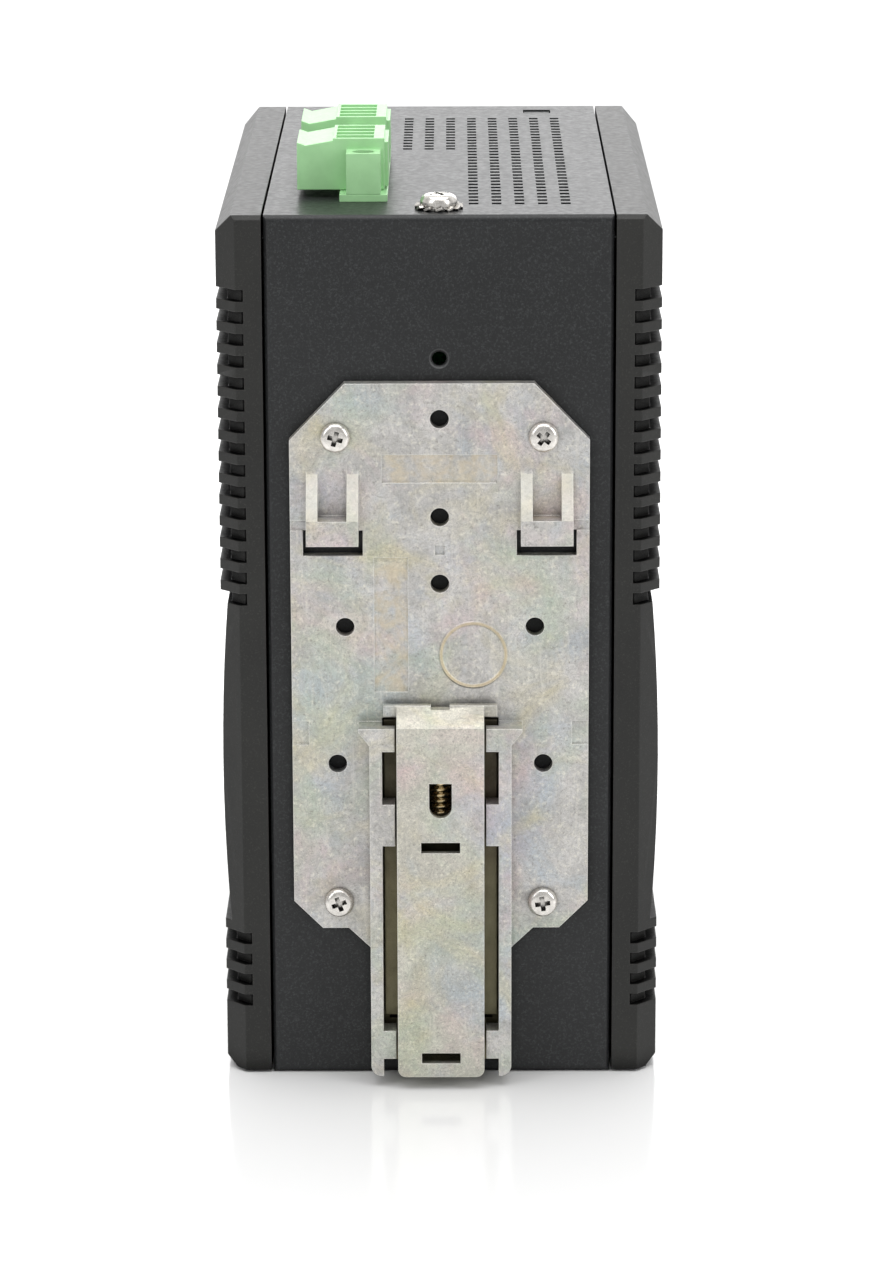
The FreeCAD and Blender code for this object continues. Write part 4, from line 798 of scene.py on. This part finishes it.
def dress_ring():
    """Low cast ring on the clip plate, left blank."""
    face = Matrix.Translation((CAST_RING[0], PLATE_FACE, CAST_RING[1])) @ facing((0, -1, 0))
    half = [(-0.25, -0.05), (-0.20, 0.10), (-0.10, 0.14)]
    section = half + [(-beside, up) for beside, up in reversed(half)] + half[:1]

    def build(shape):
        revolve(shape, [(RING_RADIUS + beside, up) for beside, up in section], 72, face)
        bmesh.ops.remove_doubles(shape, verts=shape.verts, dist=1e-4)

    smooth(add_mesh("cast_ring", build, "zinc"), 50)


# ---------------------------------------------------------------- stage, light and camera

def build_stage():
    shader = Shader("pale_floor")
    shader.set(Metallic=0.0, Specular_IOR_Level=0.9, Roughness=0.12)
    shader.finish(shader.ramp(shader.noise(0.002, 2.0), [(0.3, 0.86), (0.7, 0.88)]))
    bpy.ops.mesh.primitive_plane_add(size=12, location=(0, 0, 0))
    floor = bpy.context.object
    floor.name = "floor"
    floor.data.materials.append(shader.material)


def add_light(name, place, aim, size, power):
    light = bpy.data.lights.new(name, "AREA")
    light.shape = "RECTANGLE"
    light.size, light.size_y = size
    light.energy = power
    lamp = bpy.data.objects.new(name, light)
    lamp.location = place
    lamp.rotation_euler = (Vector(aim) - Vector(place)).to_track_quat("-Z", "Y").to_euler()
    lamp.visible_camera = False
    bpy.context.scene.collection.objects.link(lamp)


def build_light():
    """A white room, darker behind the camera, and four soft boxes; places are in metres."""
    world = bpy.data.worlds.new("studio")
    bpy.context.scene.world = world
    world.use_nodes = True
    tree = world.node_tree
    background = tree.nodes["Background"]
    coordinates = tree.nodes.new("ShaderNodeTexCoord")
    split = tree.nodes.new("ShaderNodeSeparateXYZ")
    ramp = tree.nodes.new("ShaderNodeValToRGB")
    tree.links.new(coordinates.outputs["Generated"], split.inputs[0])
    tree.links.new(split.outputs["Y"], ramp.inputs["Fac"])
    first, last = ramp.color_ramp.elements
    first.position, first.color = 0.0, (0.60, 0.60, 0.60, 1)
    last.position, last.color = 0.5, (1.0, 1.0, 1.0, 1)
    tree.links.new(ramp.outputs["Color"], background.inputs["Color"])
    background.inputs["Strength"].default_value = 1.02
    low_aim = (0, -0.06, 0.08)
    add_light("overhead", (0, -0.15, 1.45), (0, -0.02, 0.15), (1.5, 1.3), 15)
    add_light("sweep", (0, 2.2, 0.85), (0, 0, 0.16), (3.2, 1.2), 16)
    add_light("left_box", (-0.9, -0.8, 0.7), low_aim, (0.5, 0.9), 3.0)
    add_light("right_box", (1.0, -0.7, 0.6), low_aim, (0.5, 0.9), 4.0)


def build_camera():
    """Above the object's top, looking down on its rear wall with a long lens."""
    camera = bpy.data.cameras.new("camera")
    camera.sensor_fit = "HORIZONTAL"
    camera.sensor_width = 36.0
    camera.lens = 189.5
    camera.clip_end = 50.0
    pitch, yaw, roll = 0.26186, -0.00329, -0.0033
    eye = Vector((0.00275, -0.88096, 0.30187))
    forward = Vector((math.sin(yaw) * math.cos(pitch), math.cos(yaw) * math.cos(pitch),
                      -math.sin(pitch)))
    right = Vector((math.cos(yaw), -math.sin(yaw), 0))
    up = right.cross(forward)
    tilted_right = right * math.cos(roll) + up * math.sin(roll)
    tilted_up = up * math.cos(roll) - right * math.sin(roll)
    holder = bpy.data.objects.new("camera", camera)
    rotation = Matrix((tilted_right, tilted_up, -forward)).transposed()
    holder.matrix_world = Matrix.Translation(eye) @ rotation.to_4x4()
    bpy.context.scene.collection.objects.link(holder)
    bpy.context.scene.camera = holder


# ---------------------------------------------------------------- assembly

bpy.context.scene.view_settings.view_transform = "Standard"
paint_nodes()
soften_edges()
REARWARD, UPWARD = (0, -1, 0), (0, 0, 1)
dress_screws("plate_screws", "clip_screws", REARWARD, head=5.5, tall=1.9,
             turns=(20, 75, 8, 52), cross=0.8)
dress_screws("ground_screw", "earth_screw", UPWARD, head=6.7, tall=2.3,
             turns=(28,), cross=0.9, slot=0.9)
dress_screws("flange_screws", "block_flange_screws", UPWARD, head=3.4, tall=1.6,
             turns=(25, 110, 65, 150), slot=0.6)
dress_screws("clamp_screws", "block_clamp_screws", UPWARD, head=2.5, tall=1.2,
             turns=(15, 80, 130, 40), slot=0.5)
dress_spring()
dress_contacts()
dress_ring()
build_stage()
build_light()
build_camera()
